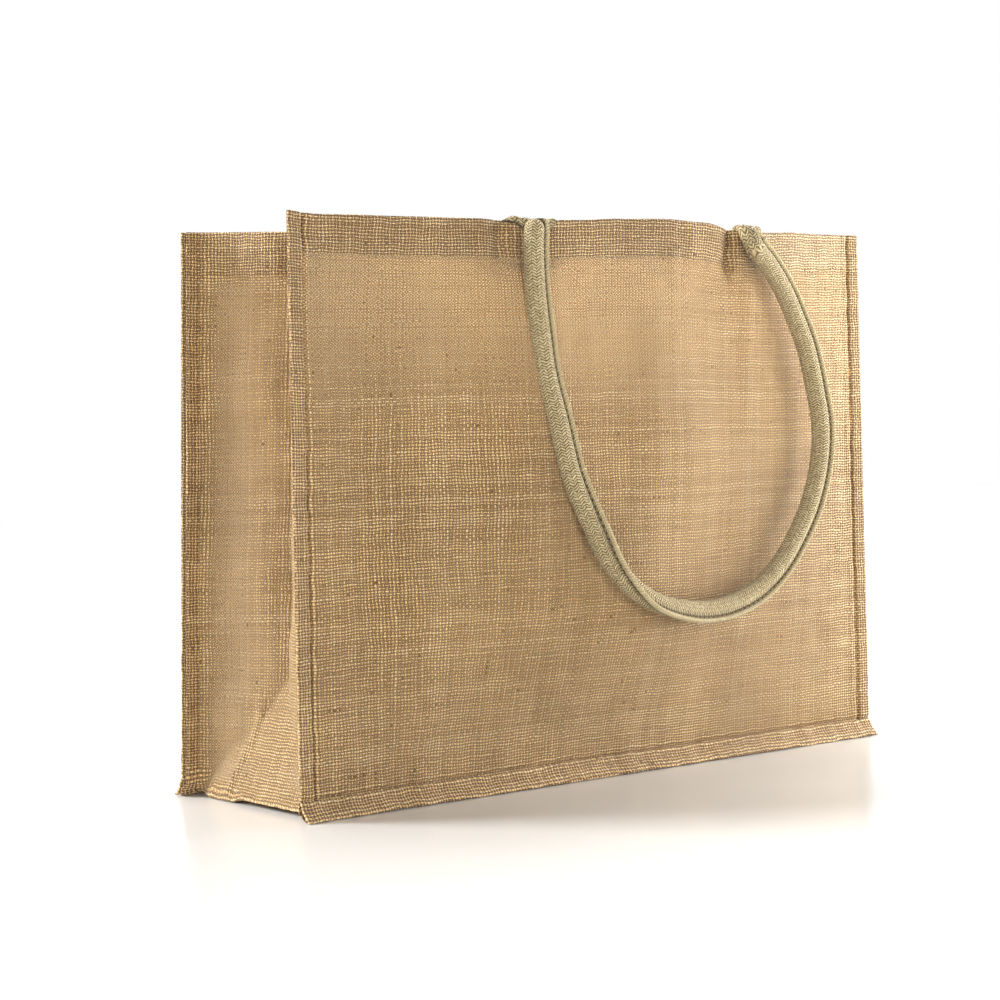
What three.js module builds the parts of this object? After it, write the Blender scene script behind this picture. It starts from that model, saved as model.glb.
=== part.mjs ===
// Jute tote bag standing open and empty: a front and a back panel, one gusset strip down the left side, under
// the bag and up the right side, and two handles of cotton webbing folded round a rope core.
// Millimetres, +Z up, front towards -Y. The origin is on the floor at the centre of the bag.
import * as THREE from 'three';

// Driving dimensions
const HEIGHT = 350; // floor to the top edge
const WIDTH = 468; // across the outer edges of the side seam margins
const MARGIN = 10; // cloth outside the stitching, turned outwards
const FOOT_HALF = 69; // bag's middle plane to the bottom seams
const MOUTH_HALF = 61.5; // bag's middle plane to the side seams at the top
const LEAN = 11.4; // how far the top stands to the right of the foot
const SEAM_RISE = 11; // height of the bottom stitching above the floor
const FLARE = 8.5; // how far a bottom margin spreads outwards on its way down
const FLARE_CURVE = 1.5; // higher keeps the margin upright for longer before it spreads
const FLANGE_FORWARD = 1.2; // how far a side margin's edge stands forward of its stitching
const GUSSET_MARGIN = 8; // the gusset's side margins are cut a little narrower
const GUSSET_MARGIN_FOOT = 1.8; // height of its bottom margins' edges above the floor
const CORNER_KICK = 2.2; // how far the gusset's margins are pushed out at the foot corners
const PANEL_HEM = 24;
const GUSSET_HEM = 28;

const CLOTH = 1.5; // one layer of jute
const PANEL_HEM_THICK = 2.9;
const PANEL_MARGIN_THICK = 2.4;
const GUSSET_HEM_THICK = 2.7;
const GUSSET_MARGIN_THICK = 1.9;
const MARGIN_STEP = 3.2; // middle of a panel's margin to the middle of the gusset's margin behind it

const FOLD_DEPTH = 28; // how far the gusset's middle folds inwards above its triangle
const FOLD_DEPTH_TOP = 38; // and at the mouth
const TRIANGLE_HEIGHT = 75; // top of the flat triangle at the foot of each side
const FOLD_SOFTNESS = 14; // higher is a sharper crease
const SIDE_FOLD_RISE = 3.2; // height of the fold between a side and the bottom, towards the front
const SIDE_FOLD_LENGTH = 42; // over which the bottom cloth comes down from that fold to the floor
const SETTLE_FROM = 0.15; // towards the back the fold lies lower, from here on, as a share of the half width
const SETTLE_OVER = 0.3;
const BANK = 14; // width of the bottom cloth that climbs to its seam

const ROPE_RADIUS = 6.2;
const FIN_REACH = 10.0; // rope centre to the edge of the stitched fin
const FIN_HALF = 1.5;
const ROPE_STANDOFF = 9.2; // panel's middle surface to the rope's centre
const TAB_WIDTH = 27; // flat webbing inside the hem
const TAB_NECK = 13; // and gathered at the rope
const TAB_THICK = 2.0;
const TAB_GAP = 1.3; // between the sewn webbing and the hem
const TAB_ROOT = 322; // lower end of the sewn webbing inside the hem
const TAB_CREST = 351.9; // middle of the webbing where it bends over the top edge
const TAB_TIP = 345.6; // lower end of the webbing's neck, above the rope's end

const JUTE = { color: 0xb59a6c, roughness: 0.95, metalness: 0 };
const WEBBING = { color: 0xa89f80, roughness: 0.9, metalness: 0 };

// Each panel's bulge: the crest's place across the width (0 left, 1 right) low down and at the top, and the
// bulge's size low down and at the top. facing is -1 for the front and 1 for the back.
const PANELS = {
  front: { facing: -1, crestLow: 0.42, crestHigh: 0.62, bulgeLow: 32, bulgeHigh: 44, phase: 0.0 },
  back: { facing: 1, crestLow: 0.55, crestHigh: 0.42, bulgeLow: 31, bulgeHigh: 41.5, phase: 2.1 },
};
// How far the top edge hangs below the full height at places across the bag, where the handles pull on it.
const EDGE_DROPS = [
  { x: -234, drop: 0 },
  { x: -215, drop: 1.6 },
  { x: -110, drop: 2.2 },
  { x: -75, drop: 3.2 },
  { x: -45, drop: 2.0 },
  { x: -10, drop: 0.5 },
  { x: 22, drop: 0 },
  { x: 50, drop: 1.4 },
  { x: 80, drop: 4.3 },
  { x: 110, drop: 4.6 },
  { x: 165, drop: 1.9 },
  { x: 234, drop: 0 },
];
const DROP_FADE = 170; // the cloth follows the dropped edge down to this far below it
// Soft folds of the panels, from an upper to a lower end: half is a fold's half width, out its height, and a
// negative height is a hollow.
const FOLDS = [
  { topX: 82, topZ: 362, footX: 75, footZ: 312, half: 8, out: -4.5 },
  { topX: 79, topZ: 330, footX: 108, footZ: 190, half: 20, out: -2.4 },
  { topX: -93, topZ: 362, footX: -98, footZ: 316, half: 9, out: -3.2 },
  { topX: -100, topZ: 320, footX: -125, footZ: 170, half: 30, out: -1.8 },
];
const FULL_BULGE = 126; // height at which the low bulge is complete
const CREST_SOFTNESS = 9;
const WAVE = 1.1; // small unevenness of the panels

// Route of a handle's rope from its left end to its right end: x to the right, z up, out is the extra
// distance from the panel, and fin is the direction of the fin round the rope, in degrees: 0 towards the
// inside of the handle's loop, 90 straight out from the panel, 180 towards the outside of the loop.
const HANDLE_ROUTE = [
  { x: -73, z: 341, out: 0, fin: 10 },
  { x: -74, z: 330, out: 0, fin: 12 },
  { x: -74, z: 305, out: 0, fin: 14 },
  { x: -72, z: 279, out: 0, fin: 15 },
  { x: -69, z: 252, out: 0, fin: 16 },
  { x: -63, z: 225, out: 0, fin: 18 },
  { x: -56, z: 191, out: 0, fin: 24 },
  { x: -49, z: 172, out: 0, fin: 35 },
  { x: -42, z: 156, out: 0, fin: 50 },
  { x: -33, z: 138, out: 0, fin: 72 },
  { x: -19, z: 122, out: 0, fin: 98 },
  { x: -1, z: 111, out: 0, fin: 120 },
  { x: 25, z: 104, out: 0, fin: 134 },
  { x: 51, z: 101, out: 0, fin: 140 },
  { x: 75, z: 103, out: 0.5, fin: 144 },
  { x: 98, z: 110, out: 1.5, fin: 146 },
  { x: 120, z: 124, out: 3, fin: 147 },
  { x: 141, z: 145, out: 4, fin: 148 },
  { x: 156, z: 167, out: 5, fin: 148 },
  { x: 167, z: 194, out: 5, fin: 148 },
  { x: 169, z: 218, out: 5, fin: 148 },
  { x: 166, z: 236, out: 4, fin: 150 },
  { x: 156, z: 268, out: 3, fin: 152 },
  { x: 145, z: 288, out: 2, fin: 155 },
  { x: 132, z: 307, out: 1, fin: 158 },
  { x: 113, z: 325, out: 0.5, fin: 160 },
  { x: 106, z: 330, out: 0, fin: 160 },
  { x: 99, z: 335.5, out: 0, fin: 160 },
];
const TAB_PLACES = [
  { end: 'left', root: -70, neck: -73 },
  { end: 'right', root: 101, neck: 92 },
];
const HANDLE_STEPS = 48;
const HANDLE_ROUND = [50, 88, 126, 164, 196, 234, 272, 310]; // corners of its section, degrees from the fin

const side = WIDTH / 2 - MARGIN;

const mix = (a, b, t) => a + (b - a) * t;
const clamp01 = (t) => Math.min(1, Math.max(0, t));
const smooth = (t) => clamp01(t) ** 2 * (3 - 2 * clamp01(t));
const softMin = (a, b, k) => -Math.log(Math.exp(-k * a) + Math.exp(-k * b)) / k;
const lean = (x, z) => x + LEAN * (z / HEIGHT - 0.5);
const seamHalf = (z) => mix(FOOT_HALF, MOUTH_HALF, z / HEIGHT);

// How far the cloth hangs down at a place, from the drop of the top edge above it.
function edgeDrop(x, z) {
  const next = EDGE_DROPS.findIndex((row) => row.x >= x);
  const i = next < 0 ? EDGE_DROPS.length - 1 : Math.max(1, next);
  const [a, b] = [EDGE_DROPS[i - 1], EDGE_DROPS[i]];
  return mix(a.drop, b.drop, smooth((x - a.x) / (b.x - a.x))) * smooth(1 - (HEIGHT - z) / DROP_FADE);
}

// How far the folds move the cloth outwards at a place.
function foldHeight(x, z) {
  return FOLDS.reduce((sum, fold) => {
    const t = (fold.topZ - z) / (fold.topZ - fold.footZ);
    const away = (x - mix(fold.topX, fold.footX, t)) / fold.half;
    const along = smooth(t * 4) * smooth((1 - t) * 2.5);
    return sum + fold.out * Math.exp(-away * away) * along;
  }, 0);
}

// How far a panel's middle surface lies from the bag's middle plane at a place, without its folds.
function panelBulge(panel, x, z) {
  const rise = Math.max(0, z - SEAM_RISE);
  const up = rise / (HEIGHT - SEAM_RISE);
  const outside = Math.max(0, Math.abs(x) - side);
  const flange = (FLANGE_FORWARD * outside) / MARGIN;
  const flare = FLARE * Math.max(0, 1 - z / SEAM_RISE) ** FLARE_CURVE;
  const across = clamp01((x + side) / (2 * side));
  const crest = mix(panel.crestLow, panel.crestHigh, smooth(up * 1.2));
  const hump = Math.max(0, softMin(across / crest, (1 - across) / (1 - crest), CREST_SOFTNESS));
  const size = panel.bulgeLow * smooth(rise / (FULL_BULGE - SEAM_RISE)) +
    (panel.bulgeHigh - panel.bulgeLow) * up;
  return seamHalf(z) + flange + flare + size * hump;
}

// The same with its folds and its small unevenness.
function panelReach(panel, x, z) {
  const ripple = Math.sin(x / 31 + z / 70 + panel.phase) * Math.sin(z / 43 - x / 120 + panel.phase);
  const free = Math.cos((Math.PI * x) / (2 * side)) * smooth((z - SEAM_RISE) / 60);
  return panelBulge(panel, x, z) + foldHeight(x, z) + WAVE * ripple * Math.max(0, free);
}

// The way a panel faces at a place: its unit outward normal.
function panelNormal(panel, x, z) {
  const d = 0.5;
  const slopeX = (panelReach(panel, x + d, z) - panelReach(panel, x - d, z)) / (2 * d);
  const slopeZ = (panelReach(panel, x, z + d) - panelReach(panel, x, z - d)) / (2 * d);
  return new THREE.Vector3(-slopeX, panel.facing, -slopeZ).normalize();
}

function mesh(name, positions, index, look) {
  const geometry = new THREE.BufferGeometry();
  geometry.setAttribute('position', new THREE.Float32BufferAttribute(positions, 3));
  geometry.setIndex(index);
  geometry.computeVertexNormals();
  const item = new THREE.Mesh(geometry, new THREE.MeshStandardMaterial(look));
  item.name = name;
  return item;
}

// A closed sheet: rows of middle points are thickened to both sides of the surface that they span. Each
// point is { x, y, z, thick }. The sheet faces along (next in row) x (next row), and points on the floor stay
// on it.
function sheet(name, rows, look) {
  const rowCount = rows.length;
  const colCount = rows[0].length;
  const at = (i, j) => new THREE.Vector3(rows[i][j].x, rows[i][j].y, rows[i][j].z);
  const positions = [];
  for (const sign of [1, -1]) {
    for (let i = 0; i < rowCount; i += 1) {
      for (let j = 0; j < colCount; j += 1) {
        const along = at(i, Math.min(j + 1, colCount - 1)).sub(at(i, Math.max(j - 1, 0)));
        const up = at(Math.min(i + 1, rowCount - 1), j).sub(at(Math.max(i - 1, 0), j));
        const out = along.cross(up).normalize();
        const point = at(i, j).addScaledVector(out, (sign * rows[i][j].thick) / 2);
        const height = rows[i][j].z > 0 ? Math.max(0, point.z) : 0;
        positions.push(lean(point.x, height), point.y, height);
      }
    }
  }
  const front = (i, j) => i * colCount + j;
  const rear = (i, j) => rowCount * colCount + i * colCount + j;
  const index = [];
  const quad = (a, b, c, d) => index.push(a, b, c, a, c, d);
  for (let i = 0; i + 1 < rowCount; i += 1) {
    for (let j = 0; j + 1 < colCount; j += 1) {
      quad(front(i, j), front(i, j + 1), front(i + 1, j + 1), front(i + 1, j));
      quad(rear(i, j), rear(i + 1, j), rear(i + 1, j + 1), rear(i, j + 1));
    }
    quad(front(i, 0), front(i + 1, 0), rear(i + 1, 0), rear(i, 0));
    const last = colCount - 1;
    quad(front(i + 1, last), front(i, last), rear(i, last), rear(i + 1, last));
  }
  for (let j = 0; j + 1 < colCount; j += 1) {
    quad(front(0, j + 1), front(0, j), rear(0, j), rear(0, j + 1));
    const last = rowCount - 1;
    quad(front(last, j), front(last, j + 1), rear(last, j + 1), rear(last, j));
  }
  return mesh(name, positions, index, look);
}

function spread(from, to, steps) {
  return Array.from({ length: steps + 1 }, (unused, i) => mix(from, to, i / steps));
}

// Heights of a panel's rows of points and places of its columns, closest where the cloth bends.
const hemFoot = HEIGHT - PANEL_HEM;
const PANEL_HEIGHTS = [
  0, SEAM_RISE / 2, SEAM_RISE, SEAM_RISE + 4, 24, 38, 54, 70, 86, 104, 126,
  ...spread(152, hemFoot - 22, 6), hemFoot - 1, hemFoot + 0.8, HEIGHT - 12, HEIGHT,
];
const PANEL_PLACES = [
  -side - MARGIN, -side - MARGIN / 2, -side,
  ...spread(-side + 5, -112, 5), ...spread(-103, -58, 5), ...spread(-38, 57, 5), ...spread(66, 111, 5),
  ...spread(130, side - 5, 4),
  side, side + MARGIN / 2, side + MARGIN,
];

function panelSheet(name, panel) {
  const rows = PANEL_HEIGHTS.map((z) => PANEL_PLACES.map((x) => {
    const inMargin = Math.abs(x) >= side || z <= SEAM_RISE;
    let thick = z > hemFoot ? PANEL_HEM_THICK : CLOTH;
    if (inMargin) thick = PANEL_MARGIN_THICK;
    return { x, y: panel.facing * panelReach(panel, x, z), z: z - edgeDrop(x, z), thick };
  }));
  if (panel.facing > 0) rows.forEach((row) => row.reverse());
  return sheet(name, rows, JUTE);
}

// How far the gusset's middle folds inwards at a height.
function foldDepth(z) {
  const up = clamp01((z - TRIANGLE_HEIGHT) / (HEIGHT - TRIANGLE_HEIGHT));
  return mix(FOLD_DEPTH, FOLD_DEPTH_TOP, up);
}

// Height of the bottom cloth's middle surface: flat on the floor, and a little raised towards its two ends.
function floorRise(x) {
  const towardsSide = smooth((Math.abs(x) - (side - SIDE_FOLD_LENGTH)) / SIDE_FOLD_LENGTH);
  return mix(CLOTH / 2, SIDE_FOLD_RISE, towardsSide);
}

// Heights of the gusset's rows of points on a side, and its columns from a seam (1) to its middle (0).
const gussetHemFoot = HEIGHT - GUSSET_HEM;
const GUSSET_HEIGHTS = [
  HEIGHT, HEIGHT - 14, gussetHemFoot + 1, gussetHemFoot - 1, ...spread(292, 112, 5), 94, 78, 62, 46, 32, 20,
];
const GUSSET_PLACES = [0.97, 0.9, 0.78, 0.6, 0.4, 0.2, 0];
const BOTTOM_PLACES = spread(-(side - 20), side - 20, 13);
// Rows round a foot corner, from the side to the bottom. seamOut, midOut and edgeOut are how far out the
// seam, the strip's middle and its margin's edge stand from the line of the side seams, and seamZ, midZ and
// edgeZ are their heights.
const CORNER_ROWS = [
  {
    seamOut: 0, seamZ: 16, midOut: 0, midZ: 12,
    edgeOut: GUSSET_MARGIN, edgeZ: 13, turnsIn: true,
  },
  {
    seamOut: -1, seamZ: 13, midOut: 0, midZ: 7,
    edgeOut: GUSSET_MARGIN + CORNER_KICK, edgeZ: 7, turnsIn: true,
  },
  {
    seamOut: -3, seamZ: 11.5, midOut: -0.5, midZ: SIDE_FOLD_RISE,
    edgeOut: GUSSET_MARGIN, edgeZ: GUSSET_MARGIN_FOOT, turnsIn: false,
  },
  {
    seamOut: -7, seamZ: SEAM_RISE, midOut: -6, midZ: floorRise(side - 6),
    edgeOut: -1, edgeZ: GUSSET_MARGIN_FOOT, turnsIn: false,
  },
];

// A place on the gusset's margin, which lies close behind the margin of a panel.
function behindPanel(panel, x, z) {
  return new THREE.Vector3(x, panel.facing * panelReach(panel, x, z), z)
    .addScaledVector(panelNormal(panel, x, z), -MARGIN_STEP);
}

// One half of a row of the gusset, from its margin's edge to its middle.
function gussetHalf(panel, { x, seamZ, midX, midZ, edgeX, edgeZ, turnsIn, thick }) {
  const margin = [0, 0.5, 1].map((t) => {
    const place = mix(edgeX, x, t);
    const point = behindPanel(panel, place, mix(edgeZ, seamZ, t));
    return { x: place, y: point.y, z: Math.max(0, point.z), thick: GUSSET_MARGIN_THICK };
  });
  const seam = margin[margin.length - 1];
  const seamY = seamHalf(seamZ) - MARGIN_STEP;
  const inner = GUSSET_PLACES.map((w) => {
    const fold = foldDepth(midZ) * Math.max(0, softMin(1 - w, midZ / TRIANGLE_HEIGHT, FOLD_SOFTNESS));
    const bank = smooth((w * seamY - (seamY - BANK)) / BANK);
    const lies = panel.facing > 0 && midZ <= SIDE_FOLD_RISE ? smooth((w - SETTLE_FROM) / SETTLE_OVER) : 0;
    return {
      x: mix(midX, x, bank) - (turnsIn ? Math.sign(midX) * fold : 0),
      y: panel.facing * w * seamY,
      z: mix(mix(midZ, CLOTH / 2, lies), seam.z, bank),
      thick,
    };
  });
  return [...margin, ...inner];
}

// Gusset strip. Its rows run from the left top edge down, under the bag and up to the right top edge. Across,
// each row runs from the front margin's edge, through the front seam, the fold and the back seam, to the back
// margin's edge.
function gussetRows() {
  const sideRows = (sign) => GUSSET_HEIGHTS.map((z) => ({
    x: sign * side,
    seamZ: z,
    midX: sign * side,
    midZ: z,
    edgeX: sign * (side + GUSSET_MARGIN),
    edgeZ: z,
    turnsIn: true,
    thick: z > gussetHemFoot ? GUSSET_HEM_THICK : CLOTH,
  }));
  const cornerRows = (sign) => CORNER_ROWS.map((row) => ({
    ...row,
    x: sign * (side + row.seamOut),
    midX: sign * (side + row.midOut),
    edgeX: sign * (side + row.edgeOut),
    thick: CLOTH,
  }));
  const bottomRows = BOTTOM_PLACES.map((x) => ({
    x,
    seamZ: SEAM_RISE,
    midX: x,
    midZ: floorRise(x),
    edgeX: x,
    edgeZ: GUSSET_MARGIN_FOOT,
    turnsIn: false,
    thick: CLOTH,
  }));
  const left = [...sideRows(-1), ...cornerRows(-1)];
  const right = [...sideRows(1), ...cornerRows(1)].reverse();
  return [...left, ...bottomRows, ...right].map((row) => [
    ...gussetHalf(PANELS.front, row),
    ...gussetHalf(PANELS.back, row).reverse().slice(1),
  ]);
}

// Handles
function handlePoints(panel) {
  const route = HANDLE_ROUTE.map((p) => {
    const preLean = p.x - LEAN * (p.z / HEIGHT - 0.5);
    const reach = panelBulge(panel, preLean, p.z) + ROPE_STANDOFF + p.out;
    return new THREE.Vector3(p.x, panel.facing * reach, p.z);
  });
  return new THREE.CatmullRomCurve3(route, false, 'centripetal');
}

// The handle's section, round with a fin beside it: distance from the rope's centre and angle from the fin.
function handleSection() {
  const round = HANDLE_ROUND.map((deg) => {
    const a = THREE.MathUtils.degToRad(deg);
    return new THREE.Vector2(Math.cos(a) * ROPE_RADIUS, Math.sin(a) * ROPE_RADIUS);
  });
  return [new THREE.Vector2(FIN_REACH, -FIN_HALF), new THREE.Vector2(FIN_REACH, FIN_HALF), ...round];
}

function handle(name, panel) {
  const curve = handlePoints(panel);
  const section = handleSection();
  const positions = [];
  const index = [];
  for (let i = 0; i <= HANDLE_STEPS; i += 1) {
    const t = i / HANDLE_STEPS;
    const centre = curve.getPointAt(t);
    const tangent = curve.getTangentAt(t);
    const place = curve.getUtoTmapping(t) * (HANDLE_ROUTE.length - 1);
    const low = Math.min(HANDLE_ROUTE.length - 2, Math.floor(place));
    const fin = THREE.MathUtils.degToRad(mix(HANDLE_ROUTE[low].fin, HANDLE_ROUTE[low + 1].fin, place - low));
    const out = new THREE.Vector3(0, panel.facing, 0);
    const inward = new THREE.Vector3().crossVectors(out, tangent).normalize().multiplyScalar(-panel.facing);
    const forward = new THREE.Vector3().crossVectors(tangent, inward).multiplyScalar(-panel.facing);
    const finWay = inward.clone().multiplyScalar(Math.cos(fin)).addScaledVector(forward, Math.sin(fin));
    const sideWay = new THREE.Vector3().crossVectors(tangent, finWay);
    for (const p of section) {
      const point = centre.clone().addScaledVector(finWay, p.x).addScaledVector(sideWay, p.y);
      positions.push(point.x, point.y, point.z);
    }
  }
  const n = section.length;
  for (let i = 0; i < HANDLE_STEPS; i += 1) {
    for (let j = 0; j < n; j += 1) {
      const k = (j + 1) % n;
      const [a, b, c, d] = [i * n + j, i * n + k, (i + 1) * n + k, (i + 1) * n + j];
      index.push(a, b, c, a, c, d);
    }
  }
  const end = HANDLE_STEPS * n;
  for (let j = 1; j + 1 < n; j += 1) {
    index.push(0, j + 1, j);
    index.push(end, end + j, end + j + 1);
  }
  return mesh(name, positions, index, WEBBING);
}

// Profile of a handle's flat end, from inside the hem up, over the top edge and down to where the rope
// begins. out is measured outwards from the hem's middle surface, and drawn is how far the webbing is pulled
// from the place where it is sewn (0) to the rope (1).
const TAB_INSIDE = -(PANEL_HEM_THICK / 2 + TAB_THICK / 2 + TAB_GAP);
const TAB_PROFILE = [
  { out: TAB_INSIDE, z: TAB_ROOT, width: TAB_WIDTH, drawn: 0 },
  { out: TAB_INSIDE, z: HEIGHT - 0.5, width: TAB_WIDTH, drawn: 0 },
  { out: TAB_INSIDE * 0.55, z: TAB_CREST - 0.2, width: TAB_WIDTH - 2, drawn: 0.1 },
  { out: 0.5, z: TAB_CREST, width: TAB_WIDTH - 4, drawn: 0.25 },
  { out: ROPE_STANDOFF * 0.55, z: TAB_CREST - 0.9, width: TAB_NECK + 5, drawn: 0.6 },
  { out: ROPE_STANDOFF, z: TAB_TIP, width: TAB_NECK, drawn: 1 },
];
const TAB_COLUMNS = [-0.5, -0.2, 0.2, 0.5];

function tab(name, panel, { root, neck }) {
  const rows = TAB_PROFILE.map((p) => TAB_COLUMNS.map((t) => {
    const place = mix(root, neck, p.drawn) + t * p.width - LEAN * (p.z / HEIGHT - 0.5);
    const reach = panelReach(panel, place, Math.min(HEIGHT, p.z)) + p.out;
    return { x: place, y: panel.facing * reach, z: p.z - edgeDrop(place, HEIGHT), thick: TAB_THICK };
  }));
  if (panel.facing > 0) rows.forEach((row) => row.reverse());
  return sheet(name, rows.reverse(), WEBBING);
}

const bag = new THREE.Group();
bag.add(panelSheet('front_panel', PANELS.front));
bag.add(panelSheet('back_panel', PANELS.back));
bag.add(sheet('gusset', gussetRows(), JUTE));
for (const [place, panel] of Object.entries(PANELS)) {
  bag.add(handle(`handle_${place}`, panel));
  for (const row of TAB_PLACES) bag.add(tab(`tab_${place}_${row.end}`, panel, row));
}

export default bag;
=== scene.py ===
"""Jute tote bag standing open and empty on a pale studio floor.

A front and a back panel and one gusset strip of plain-woven jute, sewn with their margins turned outwards,
and two handles of cotton webbing folded round a rope core and stitched. The tables and the surface functions
are in millimetres, +Z up, front towards -Y; make_mesh() turns them into metres.
"""
import math
from functools import partial

import bmesh
import bpy
import numpy as np
from mathutils import Matrix, Vector


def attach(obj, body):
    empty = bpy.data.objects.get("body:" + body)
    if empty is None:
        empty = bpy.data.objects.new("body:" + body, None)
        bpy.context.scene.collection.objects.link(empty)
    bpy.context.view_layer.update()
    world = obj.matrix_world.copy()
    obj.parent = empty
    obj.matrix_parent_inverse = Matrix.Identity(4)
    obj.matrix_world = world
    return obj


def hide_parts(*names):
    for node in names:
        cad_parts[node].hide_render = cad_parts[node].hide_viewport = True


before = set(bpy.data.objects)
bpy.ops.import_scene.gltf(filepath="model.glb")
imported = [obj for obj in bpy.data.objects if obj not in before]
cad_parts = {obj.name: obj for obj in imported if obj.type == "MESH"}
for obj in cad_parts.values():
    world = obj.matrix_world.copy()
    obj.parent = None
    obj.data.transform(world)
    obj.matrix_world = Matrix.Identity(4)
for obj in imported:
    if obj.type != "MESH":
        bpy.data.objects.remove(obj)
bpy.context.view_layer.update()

bl_info = {
    "name": "Jute Tote Bag",
    "version": (1, 0, 0),
    "blender": (4, 5, 0),
    "location": "View3D > Sidebar > Tote Bag",
    "description": "Builds an open tote bag of woven jute with rope-cored handles",
    "category": "Add Mesh",
}

MM = 0.001

# ---------------------------------------------------------------- sizes that the cloth is drawn from

# Each panel's bulge: the crest's place across the width (0 left, 1 right) low down and at the top, and the
# bulge's size low down and at the top.
PANELS = {
    "front": {
        "facing": -1, "crest_low": 0.42, "crest_high": 0.62, "bulge_low": 32, "bulge_high": 44, "phase": 0.0,
    },
    "back": {
        "facing": 1, "crest_low": 0.55, "crest_high": 0.42, "bulge_low": 31, "bulge_high": 41.5, "phase": 2.1,
    },
}
# How far the top edge hangs below the full height at places across the bag: (x, drop).
EDGE_DROPS = (
    (-234, 0), (-215, 1.6), (-110, 2.2), (-75, 3.2), (-45, 2.0), (-10, 0.5),
    (22, 0), (50, 1.4), (80, 4.3), (110, 4.6), (165, 1.9), (234, 0),
)
DROP_FADE = 170  # the cloth follows its dropped edge down to this far below it
# Soft folds of the panels: (x and z of the upper end, x and z of the lower end, half width, height).
FOLDS = (
    (82, 362, 75, 312, 8, -4.5),
    (79, 330, 108, 190, 20, -2.4),
    (-93, 362, -98, 316, 9, -3.2),
    (-100, 320, -125, 170, 30, -1.8),
    (-90, 335, -68, 60, 30, 9.0),
    (58, 352, 64, 180, 24, -5.0),
    (98, 345, 104, 190, 9, 1.9),
    (-188, 352, -186, 0, 20, -6.0),
)
# Route of a handle's rope: (x, z, distance added to the panel's, direction of the fin in degrees: 0 towards
# the inside of the loop, 90 straight out, 180 towards the outside of the loop).
HANDLE_ROUTE = (
    (-73, 341, 0, 10), (-74, 330, 0, 12), (-74, 305, 0, 14), (-72, 279, 0, 15), (-69, 252, 0, 16),
    (-63, 225, 0, 18), (-56, 191, 0, 24), (-49, 172, 0, 35), (-42, 156, 0, 50), (-33, 138, 0, 72),
    (-19, 122, 0, 98), (-1, 111, 0, 120), (25, 104, 0, 134), (51, 101, 0, 140), (75, 103, 0.5, 144),
    (98, 110, 1.5, 146), (120, 124, 3, 147), (141, 145, 4, 148), (156, 167, 5, 148), (167, 194, 5, 148),
    (169, 218, 5, 148), (166, 236, 4, 150), (156, 268, 3, 154), (145, 288, 2, 159), (132, 307, 1, 165),
    (113, 325, 0.5, 168), (106, 330, 0, 170), (99, 335.5, 0, 170),
)
# The webbing's path over the top edge at a handle's left end: (distance from the panel's middle surface, z).
FLAP_PATH = (
    (-3.0, 322), (-3.0, 334), (-3.0, 345.5), (-2.2, 348.6), (-0.3, 350.2), (1.8, 349.4), (2.8, 347.2),
    (3.1, 344.3),
)
# Along that end's width: (x, how far it follows the path, how much it stands up, half its thickness).
FLAP_WIDTH = (
    (-87.5, 29.0, -0.8, 0.4), (-85, 31.5, -0.2, 0.7), (-80.5, 34.5, 1.4, 1.0), (-76, 36.8, 0.8, 1.2),
    (-71, 36.0, 0.2, 1.1), (-66, 35.5, -0.3, 0.9), (-61, 36.5, -0.5, 0.8), (-57.5, 38.0, -0.2, 0.7),
    (-54.5, 34.5, 0.1, 0.6), (-52.5, 30.0, -0.2, 0.4),
)
# A handle's flattened right end, from inside the hem over the top edge: (x, distance from the panel's middle
# surface, z, reach of the folded side away from the fin, how round it is).
RIGHT_END = (
    (103, -3.6, 322, 9, 0), (103, -3.6, 330, 9, 0), (103, -3.5, 338, 9, 0), (103, -3.2, 344, 9, 0),
    (102.5, -2.4, 348.3, 9, 0), (101.5, -0.5, 350.6, 10, 0.15), (100.2, 2.4, 350.2, 9.5, 0.4),
    (98.6, 5.6, 346.8, 7.5, 0.75),
)
# Where it meets the rope: (distance along the rope, folded side's reach, how round).
ROPE_JOIN = ((1, 6.2, 0.97), (6, 6.2, 1.0), (10, 6.2, 0.9))
# Rows of the gusset round a foot corner, from the side to the bottom: how far out from the side seam's line
# and how high the seam, the strip's middle and its margin's edge are, and the share of the inward fold.
CORNER_ROWS = (
    (0, 16, 0, 12, 8, 13, 1.0),
    (-1, 13, 0, 7, 10.2, 7, 1.0),
    (-3, 11.5, -0.5, 3.2, 8, 1.8, 0.0),
    (-7, 11, -6, 3.15, -1, 1.8, 0.0),
)


def mix(a, b, t):
    return a + (b - a) * t


def smooth(t):
    t = np.clip(t, 0.0, 1.0)
    return t * t * (3 - 2 * t)


def soft_min(a, b, sharpness):
    return -np.log(np.exp(-sharpness * a) + np.exp(-sharpness * b)) / sharpness


def bell(away, half):
    return np.exp(-(away / half) ** 2)


def unit(v):
    return v / np.linalg.norm(v, axis=-1, keepdims=True)


def runs(start, *steps):
    """Places along a line, in evenly spaced runs: each (end, step) goes on from the one before."""
    places = []
    for end, step in steps:
        places.append(np.arange(start, end - 1e-6, step))
        start = end
    return np.concatenate([*places, [start]])


def lengths_along(points):
    return np.concatenate([[0], np.cumsum(np.linalg.norm(np.diff(points, axis=0), axis=1))])


def along_line(points, walked, places):
    """Each coordinate of a line of points at places along it."""
    return np.array([np.interp(places, walked, values) for values in points.T])


def facing_out(reach, facing, x, z):
    """Directions away from a surface whose distance from the bag's middle plane is reach(x, z)."""
    d = 0.5
    slope_x = (reach(x + d, z) - reach(x - d, z)) / (2 * d)
    slope_z = (reach(x, z + d) - reach(x, z - d)) / (2 * d)
    return unit(np.stack([-slope_x, np.full_like(slope_x, facing), -slope_z], axis=-1))


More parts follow.
